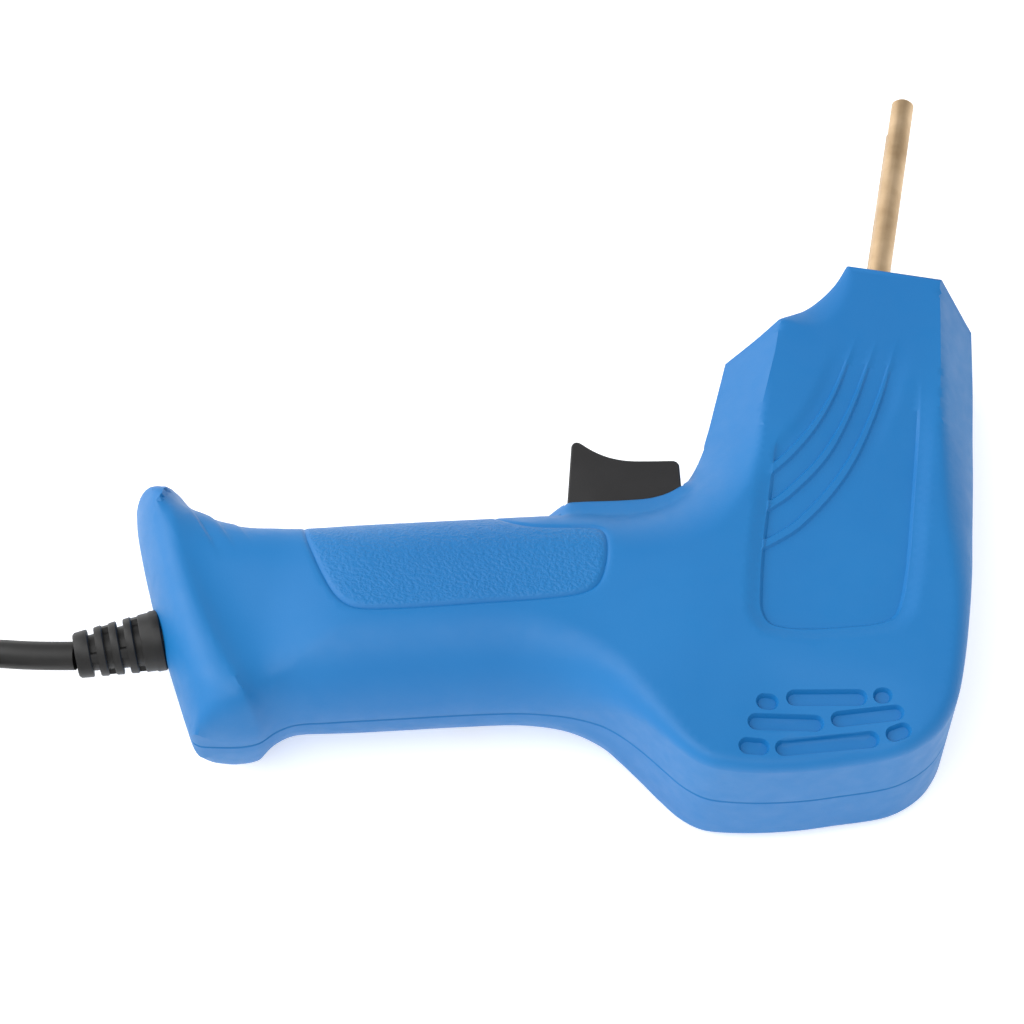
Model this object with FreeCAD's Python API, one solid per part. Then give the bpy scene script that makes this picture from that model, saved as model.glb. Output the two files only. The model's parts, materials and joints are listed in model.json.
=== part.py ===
import FreeCAD, Part
import math
import os

# Mains-powered hot stapler for plastic repair, lying on its side.
# Millimetres. Plan coordinates are measured from a point on the finger side of the grip,
# 63 mm behind the end of the nose: +X to the back of the body, +Y along the electrodes
# towards their tips, +Z up from the surface that the tool lies on. The parting plane of the
# two housing halves is at SPLIT_Z. On export everything moves by -ORIGIN, which puts the
# origin under the centre of the tool's box.

V = FreeCAD.Vector

# ---------------------------------------------------------------- driving dimensions
SPLIT_Z = 18.5            # height of the parting plane, half the body's thickness
FACE_Z = 37.0             # upper side face of the body
WALL = 2.4                # housing wall
ORIGIN = V(9.7, 26.5, 0)  # centre of the tool's plan box

NOSE_Y = 63.2             # end face of the nose
ROD_X = 69.7              # both electrodes lie in this plane
ROD_R = 2.5               # electrode rod
ROD_TIP_Y = 118.2         # free ends of the electrodes
ROD_BACK_Y = 35.0         # ends of the electrodes inside the terminal blocks
ROD_SPACING = 12.0        # electrode axes, one above the other
ROD_ZS = (SPLIT_Z + ROD_SPACING / 2, SPLIT_Z - ROD_SPACING / 2)
STAPLE_BORE_R = 1.1       # socket in each tip for a staple leg
STAPLE_BORE_DEPTH = 9.0

GRIP_SLOPE = 13.15        # grip axis to +X, degrees
GRIP_HALF_DEPTH = 21.2
GRIP_HALF_THICK = 17.6

TRIGGER_AT = V(20.0, 3.0, SPLIT_Z)  # origin of the trigger's own plan axes
TRIGGER_HALF_W = 7.5
TRIGGER_TRAVEL = 5.5
FIT_GAP = 0.4             # between the trigger and its opening
BRIDGE_OUT = (-17.9, -17.05)   # contact bridge at rest, in the trigger's own axes
CONTACT_OUT = BRIDGE_OUT[0] - TRIGGER_TRAVEL - 0.4   # faces of the fixed contacts
CONTACT_ALONG = (4.6, 13.4)    # the two fixed contacts
SPRING_ALONG = -2.0            # axis of the return spring

SCREW_XY = [(-63.0, -26.0), (-47.0, -56.0), (-1.0, -44.0), (48.0, -50.0),
            (86.5, -44.0), (87.0, 36.0), (46.0, 28.0)]
SCREW_R = 1.45
SCREW_HEAD_R = 2.9
SCREW_SEAT_Z = 11.5
SCREW_TIP_Z = 28.0
BOSS_R = 3.8

CORD_D = 6.0
WIRE_D = 2.2              # insulated cores inside the housing
RELIEF_AT = V(-66.0, -42.9, SPLIT_Z)   # where the strain relief leaves the end of the grip
RELIEF_DIR = V(-0.927, -0.375, 0)
RELIEF_LEN = 18.4                      # its length outside the housing
COIL_AT = V(-144.0, -98.0, 0)
COIL_OUTER = 42.0                      # centreline of the outermost turn
COIL_INNER = 24.0                      # centreline of the innermost turn
COIL_LAYERS = 2


# Bevels of the body's long edges: x on the side face, x on the outline, depth, and the y
# where each has faded out and where it has its full size.
BEVELS = [(50.0, 39.4, 11.5, 11.0, 30.0), (84.4, 92.4, 12.0, 24.0, 46.0)]


# ---------------------------------------------------------------- helpers
def vec(point, z=0.0):
    return V(point[0], point[1], z)


def line(a, b):
    return Part.LineSegment(a, b).toShape()


def arc(a, b, c):
    return Part.Arc(a, b, c).toShape()


def polygon(points, z=0.0):
    """Closed plan wire of straight sides."""
    corners = [vec(p, z) for p in points]
    return Part.makePolygon(corners + corners[:1])


def prism(points, z0, z1):
    return Part.Face(polygon(points, z0)).extrude(V(0, 0, z1 - z0))


def box(x0, x1, y0, y1, z0, z1):
    return Part.makeBox(x1 - x0, y1 - y0, z1 - z0, V(x0, y0, z0))


def rod(radius, start, end):
    along = end - start
    return Part.makeCylinder(radius, along.Length, start, along)


def fuse(shapes):
    return shapes[0].multiFuse(shapes[1:]).removeSplitter()


def group(solids):
    return Part.makeCompound(solids)


def rounded_section(centre, depth_angle, half_depth, half_thick, radius):
    """Closed wire of a rounded rectangle that stands across the grip."""
    angle = math.radians(depth_angle)
    out = V(math.cos(angle), math.sin(angle), 0)
    up = V(0, 0, 1)

    def at(d, z):
        return centre + out * d + up * z

    flat_d = half_depth - radius
    flat_z = half_thick - radius
    diagonal = radius * math.sqrt(0.5)
    edges = []
    corners = [(1, 1), (-1, 1), (-1, -1), (1, -1)]
    for k, (sd, sz) in enumerate(corners):
        start = at(sd * half_depth, sz * flat_z)
        end = at(sd * flat_d, sz * half_thick)
        middle = at(sd * (flat_d + diagonal), sz * (flat_z + diagonal))
        if k % 2:
            start, end = end, start
        edges.append(arc(start, middle, end))
        next_d, next_z = corners[(k + 1) % 4]
        if k % 2:
            following = at(next_d * half_depth, next_z * flat_z)
        else:
            following = at(next_d * flat_d, next_z * half_thick)
        edges.append(line(end, following))
    return Part.Wire(edges)


def bend_radius(before, corner, after):
    """Radius of the arc at a corner of a route: as large as its two runs allow."""
    turn = (corner - before).getAngle(after - corner)
    shorter = min((corner - before).Length, (after - corner).Length)
    return 0.45 * shorter / math.tan(turn / 2), turn


def route_wire(points, radii_name=None):
    """Straight runs joined by tangent arcs."""
    edges = []
    at = points[0]
    radii = []
    for before, corner, after in zip(points, points[1:], points[2:]):
        radius, turn = bend_radius(before, corner, after)
        radii.append(radius)
        back = (before - corner).normalize()
        ahead = (after - corner).normalize()
        reach = radius * math.tan(turn / 2)
        start = corner + back * reach
        end = corner + ahead * reach
        inward = (back + ahead).normalize()
        middle = corner + inward * (radius / math.cos(turn / 2) - radius)
        edges.append(line(at, start))
        edges.append(arc(start, middle, end))
        at = end
    edges.append(line(at, points[-1]))
    if radii_name:
        print(radii_name, "radii", [round(r, 1) for r in radii])
    return Part.Wire(edges)


def route_tube(points, diameter, name=None):
    wire = route_wire(points, name)
    start = (points[1] - points[0]).normalize()
    ring = Part.Wire(Part.makeCircle(diameter / 2, points[0], start))
    tube = wire.makePipeShell([ring], True, False)
    if name:
        expected = math.pi * diameter ** 2 / 4 * wire.Length
        print(name, "length", round(wire.Length, 1), "volume ratio", round(tube.Volume / expected, 4))
    return tube


def trigger_point(along, out, z=0.0):
    """Point in the trigger's own plan axes: along the grip and out of its finger side."""
    slope = math.radians(GRIP_SLOPE)
    axis = V(math.cos(slope), math.sin(slope), 0)
    outward = V(-math.sin(slope), math.cos(slope), 0)
    return TRIGGER_AT + axis * along + outward * out + V(0, 0, z)


def trigger_block(a0, a1, o0, o1, half_z):
    """Box in the trigger's own axes, centred on the parting plane."""
    corners = [trigger_point(a, o, -half_z) for a, o in ((a0, o0), (a1, o0), (a1, o1), (a0, o1))]
    return Part.Face(Part.makePolygon(corners + corners[:1])).extrude(V(0, 0, 2 * half_z))


# ---------------------------------------------------------------- housing
def head_wire(z):
    """Plan outline of the body, from the nose round to the inside of the grip."""
    nose_left = V(62.4, NOSE_Y, z)
    nose_right = V(83.0, NOSE_Y, z)
    nose_back = V(91.4, 58.6, z)
    back_low = V(98.0, -22.0, z)
    heel = V(92.6, -46.6, z)
    base_right = V(82.0, -53.2, z)
    base_left = V(51.5, -58.9, z)
    base_turn = V(43.6, -56.6, z)
    belly = V(34.0, -48.6, z)
    grip_low = V(20.0, -44.6, z)
    grip_high = V(11.0, -1.5, z)
    guard_low = V(30.0, 6.5, z)
    guard_high = V(38.9, 28.0, z)
    throat = V(39.8, 40.4, z)
    return Part.Wire([
        line(nose_left, nose_right),
        line(nose_right, nose_back),
        arc(nose_back, V(95.6, 15.0, z), back_low),
        arc(back_low, V(96.9, -36.0, z), heel),
        line(heel, base_right),
        line(base_right, base_left),
        arc(base_left, V(47.2, -59.0, z), base_turn),
        line(base_turn, belly),
        arc(belly, V(27.5, -45.4, z), grip_low),
        line(grip_low, grip_high),
        line(grip_high, guard_low),
        arc(guard_low, V(36.8, 15.5, z), guard_high),
        line(guard_high, throat),
        arc(throat, V(53.6, 50.0, z), nose_left),
    ])


def bevel_wedge(x_face, x_side, depth, fade_y, full_y, z_face, mirror):
    """Wedge that bevels one long edge of the body up to the nose and fades out below full_y."""
    outward = math.copysign(1.0, x_side - x_face)
    slope = depth / abs(x_side - x_face)
    over = 4.0
    near_x = x_face - outward * over / slope
    far_x = x_side + outward * over
    top_z = z_face + over
    low_z = z_face - depth - over * slope

    def triangle(y):
        return [V(near_x, y, top_z), V(far_x, y, top_z), V(far_x, y, low_z)]

    def face(*corners):
        return Part.Face(Part.makePolygon(list(corners) + [corners[0]]))

    start = triangle(full_y)
    apex = V(far_x, fade_y, top_z)
    full = face(*start).extrude(V(0, NOSE_Y + 5 - full_y, 0))
    sides = [face(*start)] + [face(start[k], start[(k + 1) % 3], apex) for k in range(3)]
    run_out = Part.Solid(Part.Shell(sides))
    if run_out.Volume < 0:
        run_out.reverse()
    wedge = fuse([full, run_out])
    if mirror:
        wedge = wedge.mirror(V(0, 0, SPLIT_Z), V(0, 0, 1))
    return wedge


def body_solid(inset):
    """Whole outside of the two closed halves, or the space inside them at a depth of inset."""
    low, high = inset, FACE_Z - inset
    outline = head_wire(low)
    if inset:
        outline = outline.makeOffset2D(-inset, 0)
    head = Part.Face(outline).extrude(V(0, 0, high - low))
    for x_face, x_side, depth, fade_y, full_y in BEVELS:
        inward = math.copysign(inset, x_face - x_side)
        for mirror in (False, True):
            head = head.cut(bevel_wedge(x_face + inward * 0.4, x_side + inward, depth,
                                        fade_y, full_y, high, mirror))
    across = 90 + GRIP_SLOPE
    thick = GRIP_HALF_THICK - inset
    depth = GRIP_HALF_DEPTH - inset
    end_x = inset * 0.9
    sections = [
        (V(-67.4 + end_x, -39.6, SPLIT_Z), 113.9, 28.0 - inset, 16.2 - inset, 13.0 - inset),
        (V(-59.4 + end_x, -37.8, SPLIT_Z), 115.5, 29.5 - inset, SPLIT_Z - inset, 14.5 - inset),
        (V(-47.5, -36.9, SPLIT_Z), 113.0, 23.2 - inset, thick, 15.0 - inset),
        (V(-34.7, -33.6, SPLIT_Z), across, depth, thick, 15.0 - inset),
        (V(-7.5, -27.2, SPLIT_Z), across, depth, thick, 15.0 - inset),
        (V(16.0, -21.7, SPLIT_Z), across, depth, thick, 15.0 - inset),
        (V(40.0, -16.1, SPLIT_Z), across, depth, thick, 15.0 - inset),
    ]
    grip = Part.makeLoft([rounded_section(*s) for s in sections], True, True)
    shapes = [head, grip]
    if not inset:
        shapes.append(trigger_collar())
    return fuse(shapes)


def trigger_collar():
    """Low raised rim round the trigger's opening."""
    collar = trigger_block(-13.5, 20.0, -12.0, 0.6, TRIGGER_HALF_W + 3.6)
    upright = [e for e in collar.Edges if abs(e.BoundBox.ZLength - 2 * (TRIGGER_HALF_W + 3.6)) < 0.1]
    return collar.makeFillet(3.0, upright)


def screw_bosses():
    """Screw columns of the upper half and of the lower half, and the holes through them."""
    upper, lower, upper_cuts, lower_cuts = [], [], [], []
    for x, y in SCREW_XY:
        upper.append(rod(BOSS_R, V(x, y, SPLIT_Z), V(x, y, FACE_Z)))
        lower.append(rod(BOSS_R, V(x, y, 0), V(x, y, SPLIT_Z)))
        upper_cuts.append(rod(SCREW_R + 0.05, V(x, y, SPLIT_Z), V(x, y, SCREW_TIP_Z + 1)))
        lower_cuts.append(rod(SCREW_R + 0.25, V(x, y, -1), V(x, y, SPLIT_Z)))
        lower_cuts.append(rod(SCREW_HEAD_R + 0.3, V(x, y, -1), V(x, y, SCREW_SEAT_Z)))
    return upper, lower, upper_cuts, lower_cuts


def housing_halves():
    outside = body_solid(0.0)
    inside = body_solid(WALL)
    upper_bosses, lower_bosses, upper_cuts, lower_cuts = screw_bosses()
    shell = outside.cut(inside)
    openings = [rod(ROD_R + 0.3, V(ROD_X, 50, z), V(ROD_X, 70, z)) for z in ROD_ZS]
    openings.append(trigger_block(-9.4, 16.3, -16.0, 20.0, TRIGGER_HALF_W + FIT_GAP))
    openings.append(trigger_block(-12.3, 18.7, -24.6, -6.0, 5.2))
    openings.append(rod(5.2, RELIEF_AT - RELIEF_DIR * 14, RELIEF_AT + RELIEF_DIR * 6))
    shell = shell.cut(Part.makeCompound(openings))
    big = 400
    above = box(-big, big, -big, big, SPLIT_Z, SPLIT_Z + big)
    below = box(-big, big, -big, big, SPLIT_Z - big, SPLIT_Z)
    halves = []
    for space, bosses, cuts in ((above, upper_bosses, upper_cuts), (below, lower_bosses, lower_cuts)):
        half = shell.common(space)
        columns = Part.makeCompound(bosses).common(outside)
        half = fuse([half] + columns.Solids)
        halves.append(half.cut(Part.makeCompound(cuts)))
    return halves


# ---------------------------------------------------------------- electrodes and terminals
def electrode(z):
    body = rod(ROD_R, V(ROD_X, ROD_BACK_Y, z), V(ROD_X, ROD_TIP_Y, z))
    tip_edges = [e for e in body.Edges if abs(e.BoundBox.YMin - ROD_TIP_Y) < 0.01]
    body = body.makeChamfer(0.6, tip_edges)
    socket = rod(STAPLE_BORE_R, V(ROD_X, ROD_TIP_Y - STAPLE_BORE_DEPTH, z), V(ROD_X, ROD_TIP_Y + 1, z))
    return body.cut(socket)


TERMINAL_Y = (30.0, 46.0)
TERMINAL_HALF_X = 6.5
TERMINAL_HALF_Z = 4.8
SET_SCREW_YS = (34.5, 41.5)
SET_SCREW_R = 1.5


def terminal(z):
    block = box(ROD_X - TERMINAL_HALF_X, ROD_X + TERMINAL_HALF_X, *TERMINAL_Y,
                z - TERMINAL_HALF_Z, z + TERMINAL_HALF_Z)
    upright = [e for e in block.Edges if e.BoundBox.ZLength > 1]
    block = block.makeChamfer(1.0, upright)
    bore = rod(ROD_R + 0.03, V(ROD_X, ROD_BACK_Y - 0.5, z), V(ROD_X, 50, z))
    taps = [rod(SET_SCREW_R + 0.02, V(ROD_X, y, z), V(ROD_X + 10, y, z)) for y in SET_SCREW_YS]
    return block.cut(Part.makeCompound([bore] + taps))


def set_screws():
    screws = []
    for z in ROD_ZS:
        for y in SET_SCREW_YS:
            inner, outer = ROD_X + ROD_R + 0.02, ROD_X + TERMINAL_HALF_X + 1.5
            screw = rod(SET_SCREW_R, V(inner, y, z), V(outer, y, z))
            slot = box(outer - 1.0, outer + 1, y - 0.3, y + 0.3, z - 3, z + 3)
            screws.append(screw.cut(slot))
    return group(screws)


def electrode_insulator():
    """Moulded block that keeps the two electrodes apart behind the nose."""
    block = box(ROD_X - 5.5, ROD_X + 9, 47, 56, SPLIT_Z - 11, SPLIT_Z + 11)
    block = block.makeFillet(1.0, [e for e in block.Edges if e.BoundBox.YLength > 1])
    bores = [rod(ROD_R + 0.04, V(ROD_X, 40, z), V(ROD_X, 70, z)) for z in ROD_ZS]
    return block.cut(Part.makeCompound(bores))


# ---------------------------------------------------------------- transformer
CORE_AT = (70.0, -22.0)
CORE_HALF_X = 21.0
CORE_HALF_Y = 17.5
CORE_HALF_Z = 10.5
LEG = 7.0                 # outer legs and yokes; the middle leg is twice as wide
BOBBIN_WALL = 1.0
COIL_GAP = 0.15
BOBBIN_HALF_Z = 14.6


def around_core(half_x, half_y, half_z):
    x, y = CORE_AT
    return box(x - half_x, x + half_x, y - half_y, y + half_y, SPLIT_Z - half_z, SPLIT_Z + half_z)


def transformer_core():
    core = around_core(CORE_HALF_X, CORE_HALF_Y, CORE_HALF_Z)
    window_half = CORE_HALF_Y - LEG
    for side in (-1, 1):
        x = CORE_AT[0] + side * 1.5 * LEG
        y = CORE_AT[1]
        core = core.cut(box(x - LEG / 2, x + LEG / 2, y - window_half, y + window_half, 0, 40))
    return core


def bobbin():
    tube_x = LEG + COIL_GAP + BOBBIN_WALL
    tube_z = CORE_HALF_Z + COIL_GAP + BOBBIN_WALL
    half_y = CORE_HALF_Y - LEG - COIL_GAP
    flange_x = 2 * LEG - COIL_GAP
    x, y = CORE_AT
    parts = [around_core(tube_x, half_y, tube_z)]
    for y0 in (y - half_y, y - half_y + 13.6, y + half_y - BOBBIN_WALL):
        parts.append(box(x - flange_x, x + flange_x, y0, y0 + BOBBIN_WALL,
                         SPLIT_Z - BOBBIN_HALF_Z, SPLIT_Z + BOBBIN_HALF_Z))
    body = fuse(parts)
    core_hole = around_core(LEG + COIL_GAP, CORE_HALF_Y, CORE_HALF_Z + COIL_GAP)
    strap_notch = box(x - LEG, x + LEG, SECONDARY_Y[1] - 0.01, SECONDARY_Y[1] + 1.3, STRAP_Z, STRAP_Z + 3)
    return body.cut(Part.makeCompound([core_hole, strap_notch]))


def winding_ring(y0, y1, thick_x, thick_z):
    """Rounded ring of wire on the bobbin between two of its flanges."""
    tube_x = LEG + COIL_GAP + BOBBIN_WALL + 0.05
    tube_z = CORE_HALF_Z + COIL_GAP + BOBBIN_WALL + 0.05
    x = CORE_AT[0]
    outer = box(x - tube_x - thick_x, x + tube_x + thick_x, y0, y1,
                SPLIT_Z - tube_z - thick_z, SPLIT_Z + tube_z + thick_z)
    outer = outer.makeFillet(2.0, [e for e in outer.Edges if e.BoundBox.YLength > 0.5 and
                                   e.BoundBox.XLength < 0.1 and e.BoundBox.ZLength < 0.1])
    return outer.cut(box(x - tube_x, x + tube_x, y0, y1, SPLIT_Z - tube_z, SPLIT_Z + tube_z))


BOBBIN_BACK_Y = CORE_AT[1] - (CORE_HALF_Y - LEG - COIL_GAP)
PRIMARY_Y = (BOBBIN_BACK_Y + BOBBIN_WALL + 0.1, BOBBIN_BACK_Y + 13.5)
SECONDARY_Y = (BOBBIN_BACK_Y + 14.7, CORE_AT[1] + CORE_HALF_Y - LEG - COIL_GAP - BOBBIN_WALL - 0.1)
STRAP_Z = SPLIT_Z + CORE_HALF_Z + COIL_GAP + BOBBIN_WALL + 0.05
STRAP_THICK = 2.2


def secondary_strap():
    """One heavy copper turn round the bobbin, with a tail to each electrode terminal."""
    ring = winding_ring(*SECONDARY_Y, 3.0, STRAP_THICK)
    x = CORE_AT[0]
    ring = ring.cut(box(x - 1.5, x + 1.5, *SECONDARY_Y, SPLIT_Z, FACE_Z))
    strap_z = (STRAP_Z, STRAP_Z + STRAP_THICK)
    y0 = SECONDARY_Y[0]
    end_y = TERMINAL_Y[0]
    high_z, low_z = ROD_ZS
    left = [box(x - 6.5, x - 1.5, y0, end_y - 2, *strap_z),
            box(x - 6.5, x - 1.5, end_y - 2.2, end_y, high_z - 3, strap_z[1])]
    right = [box(x + 1.5, x + 6.5, y0, 8.0, *strap_z),
             box(x + 1.5, x + 6.5, 6.0, 8.0, low_z - 1.1, strap_z[1]),
             box(x + 1.5, x + 6.5, 6.0, end_y, low_z - 1.1, low_z + 1.1)]
    return fuse([ring] + left + right)


# ---------------------------------------------------------------- trigger and switch
def trigger():
    outline = [(-8.75, -2.0), (-7.2, 10.6), (-5.9, 13.6), (-5.2, 13.8)]
    inner_corner = [(15.7, 7.0), (15.7, -8.6), (-8.75, -8.6)]
    low = -TRIGGER_HALF_W
    left = [trigger_point(a, o, low) for a, o in outline]
    right = [trigger_point(a, o, low) for a, o in inner_corner]
    brow = trigger_point(14.9, 8.1, low)
    edges = [line(a, b) for a, b in zip(left, left[1:])]
    edges.append(arc(left[-1], trigger_point(3.6, 8.9, low), brow))
    edges.append(line(brow, right[0]))
    edges += [line(a, b) for a, b in zip(right, right[1:])]
    edges.append(line(right[-1], left[0]))
    body = Part.Face(Part.Wire(edges)).extrude(V(0, 0, 2 * TRIGGER_HALF_W))
    lips = [trigger_block(-11.6, -8.0, -8.6, -6.4, 4.5), trigger_block(15.0, 18.0, -8.6, -6.4, 4.5)]
    stem = trigger_block(7.0, 11.0, -17.0, -8.0, 3.0)
    spring_post = rod(2.2, trigger_point(SPRING_ALONG, -12.0), trigger_point(SPRING_ALONG, -8.0))
    return fuse([body] + lips + [stem, spring_post])


def trigger_spring():
    start = trigger_point(SPRING_ALONG, -23.7)
    end = trigger_point(SPRING_ALONG, -8.9)
    coil_r, wire_r, pitch = 3.2, 0.4, 2.5
    height = (end - start).Length - 2 * wire_r
    helix = Part.makeHelix(pitch, height, coil_r)
    profile = Part.Wire(Part.makeCircle(wire_r, V(coil_r, 0, 0), V(0, 1, pitch / (2 * math.pi * coil_r))))
    spring = Part.Wire(helix.Edges).makePipeShell([profile], True, True)
    spring.Placement = FreeCAD.Placement(start + (end - start).normalize() * wire_r,
                                         FreeCAD.Rotation(V(0, 0, 1), end - start))
    return spring


def contact_bridge():
    return trigger_block(CONTACT_ALONG[0] - 2.1, CONTACT_ALONG[1] + 2.1, *BRIDGE_OUT, 2.5)


def switch_base():
    base = trigger_block(-8.0, 17.5, -33.0, -25.4, 8.0)
    seat = rod(4.2, trigger_point(SPRING_ALONG, -26.0), trigger_point(SPRING_ALONG, -23.8))
    pillar = fuse([base, seat])
    slots = [trigger_block(a - 1.6, a + 1.6, -40.0, -20.0, 2.1) for a in CONTACT_ALONG]
    return pillar.cut(Part.makeCompound(slots))


def fixed_contacts():
    contacts = []
    for a in CONTACT_ALONG:
        blade = trigger_block(a - 1.5, a + 1.5, -36.5, CONTACT_OUT - 0.8, 0.5)
        pad = trigger_block(a - 2.4, a + 2.4, CONTACT_OUT - 1.4, CONTACT_OUT, 2.4)
        contacts.append(fuse([blade, pad]))
    return group(contacts)


# ---------------------------------------------------------------- cord side
def strain_relief():
    """Tapered sleeve with rib slots, and a collar that the housing holds."""
    axis = V(RELIEF_DIR)
    start = RELIEF_AT - axis * 3.0
    base_r, tip_r = 6.3, 4.8
    sleeve = Part.makeCone(base_r, tip_r, RELIEF_LEN - 2.4, RELIEF_AT + axis * 2.4, axis)
    base = Part.makeCylinder(6.4, 2.2, RELIEF_AT + axis * 0.2, axis)
    neck = Part.makeCylinder(5.0, 3.6, start, axis)
    anchor = Part.makeCylinder(7.0, 2.0, start - axis * 2.0, axis)
    body = fuse([anchor, neck, base, sleeve])
    bore = Part.makeCylinder(CORD_D / 2 + 0.02, RELIEF_LEN + 12, start - axis * 4, axis)
    grooves = []
    for k in range(4):
        at = RELIEF_AT + axis * (4.6 + 3.1 * k)
        ring = Part.makeCylinder(8.0, 1.3, at, axis)
        grooves.append(ring.cut(Part.makeCylinder(4.1, 1.3, at, axis)))
    return body.cut(Part.makeCompound([bore] + grooves))


def cord_start():
    return RELIEF_AT + RELIEF_DIR * (RELIEF_LEN + 0.05)


def lead_route():
    """Free cord from the strain relief down to the coil's outermost turn."""
    return [cord_start(), V(-91.6, -51.0, 17.7), V(-102.0, -50.7, 15.2), V(-112.5, -50.7, 9.8),
            V(-122.5, -51.6, 5.6), V(-133.0, -53.8, 3.5), V(COIL_AT.x, COIL_AT.y + COIL_OUTER, CORD_D / 2)]


PLUG_X = -98.0
PLUG_Y = -141.0
PLUG_HALF_THICK = 6.9
PLUG_HALF_WIDTH = 13.0
PLUG_LEN = 40.0
PIN_R = 2.0
PIN_LEN = 19.0
PIN_SPACING = 18.6


def tail_route():
    """Free cord from the coil's upper layer to the plug."""
    south = COIL_AT.y - COIL_OUTER
    return [V(COIL_AT.x, south, 1.5 * CORD_D), V(-129.0, south - 0.4, 8.2),
            V(-113.0, PLUG_Y - 0.3, 6.6), V(PLUG_X, PLUG_Y, PLUG_HALF_THICK)]


def cord_coil():
    height = COIL_LAYERS * CORD_D
    ring = Part.makeCylinder(COIL_OUTER + CORD_D / 2, height, COIL_AT)
    return ring.cut(Part.makeCylinder(COIL_INNER - CORD_D / 2, height, COIL_AT))


def cable_tie():
    """Strap round the coil's ring on its far side."""
    outer_r, inner_r = COIL_OUTER + CORD_D / 2, COIL_INNER - CORD_D / 2
    height = COIL_LAYERS * CORD_D
    x, y = COIL_AT.x, COIL_AT.y
    band = box(x - outer_r - 1.6, x - inner_r + 1.6, y - 2, y + 2, 0.0, height + 1.4)
    hole = box(x - outer_r - 0.3, x - inner_r + 0.3, y - 3, y + 3, -1.0, height + 0.2)
    lock = box(x - inner_r - 10.0, x - inner_r - 4.0, y - 3, y + 3, height + 0.3, height + 4.0)
    return fuse([band.cut(hole), lock])


def plug_body():
    """Flat two-pin plug: a waisted grip that widens to the pin face."""
    x0 = PLUG_X + 0.05
    x1 = x0 + PLUG_LEN
    half = PLUG_HALF_WIDTH
    plan = [(x0, -3.6), (x0 + 12, -5.0), (x0 + 17, -9.0), (x1 - 10, -half), (x1, -half)]
    points = [(x, PLUG_Y + dy) for x, dy in plan]
    points += [(x, PLUG_Y - dy) for x, dy in reversed(plan)]
    body = prism(points, 0, 2 * PLUG_HALF_THICK)
    long_edges = [e for e in body.Edges if e.BoundBox.ZLength < 0.1 and e.BoundBox.XLength > 1]
    return body.makeFillet(2.4, long_edges)


def plug_pins():
    pins = []
    for side in (-1, 1):
        start = V(PLUG_X + PLUG_LEN + 0.05, PLUG_Y + side * PIN_SPACING / 2, PLUG_HALF_THICK)
        pin = rod(PIN_R, start, start + V(PIN_LEN, 0, 0))
        tip = [e for e in pin.Edges if e.BoundBox.XMin > start.x + PIN_LEN - 1]
        pins.append(pin.makeFillet(1.2, tip))
    return group(pins)


CLAMP_S = 12.0            # distance of the cord clamp inside the end of the grip


def clamp_frame():
    axis = V(-RELIEF_DIR.x, -RELIEF_DIR.y, 0)
    across = V(-axis.y, axis.x, 0)
    return RELIEF_AT + axis * CLAMP_S, axis, across


def slanted_box(centre, axis, across, half_a, half_b, z0, z1):
    corners = [centre + axis * (sa * half_a) + across * (sb * half_b)
               for sa, sb in ((1, 1), (-1, 1), (-1, -1), (1, -1))]
    return prism([(c.x, c.y) for c in corners], z0, z1)


def cord_clamp():
    centre, axis, across = clamp_frame()
    bar = slanted_box(centre, axis, across, 3.5, 10.0, SPLIT_Z + 0.2, SPLIT_Z + 5.4)
    hollow = rod(CORD_D / 2 + 0.05, centre - axis * 10, centre + axis * 10)
    holes = [rod(1.6, centre + across * s, centre + across * s + V(0, 0, 20)) for s in (-7, 7)]
    return bar.cut(Part.makeCompound([hollow] + holes))


def clamp_saddle():
    """Block under the cord clamp, which takes its two screws."""
    centre, axis, across = clamp_frame()
    block = slanted_box(centre, axis, across, 3.5, 10.0, 4.0, SPLIT_Z - 0.2)
    hollow = rod(CORD_D / 2 + 0.05, centre - axis * 10, centre + axis * 10)
    holes = [rod(1.3, centre + across * s - V(0, 0, 9), centre + across * s) for s in (-7, 7)]
    return block.cut(Part.makeCompound([hollow] + holes))


def clamp_screws():
    centre, axis, across = clamp_frame()
    screws = []
    for s in (-7, 7):
        at = centre + across * s
        shank = rod(1.25, at - V(0, 0, 8), at + V(0, 0, 5.5))
        head = rod(2.4, at + V(0, 0, 5.45), at + V(0, 0, 7.2))
        screws.append(fuse([shank, head]))
    return group(screws)


def cord_inner():
    """Sheathed end of the cord inside the housing, from the strain relief past the clamp."""
    axis = V(-RELIEF_DIR.x, -RELIEF_DIR.y, 0)
    return rod(CORD_D / 2, cord_start() + axis * 0.1, RELIEF_AT + axis * (CLAMP_S + 9))


def wires():
    """Insulated cores: cord to switch, switch to transformer, cord to transformer."""
    axis = V(-RELIEF_DIR.x, -RELIEF_DIR.y, 0)
    end = RELIEF_AT + axis * (CLAMP_S + 9.05)
    side = V(-axis.y, axis.x, 0)
    near, far = CONTACT_ALONG
    live = [end + side * 1.5, end + side * 1.5 + axis * 14, trigger_point(-34, -30),
            trigger_point(-12, -38), trigger_point(0, -41.5), trigger_point(near, -40.8),
            trigger_point(near, -36.6)]
    neutral = [end - side * 1.5, end - side * 1.5 + axis * 14, trigger_point(-34, -34, -4.5),
               trigger_point(-8, -39, -4.5), trigger_point(10, -40.5, -6.5), V(44.0, -29.5, 8.2),
               V(50, -28.5, 6.4), V(56.9, -28.5, 6.4)]
    load = [trigger_point(far, -36.6), trigger_point(far, -40.2), trigger_point(16, -41.2, 4),
            V(44.0, -29.5, 28.6), V(50.0, -28.5, 30.7), V(56.9, -28.5, 30.7)]
    return live, neutral, load


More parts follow.
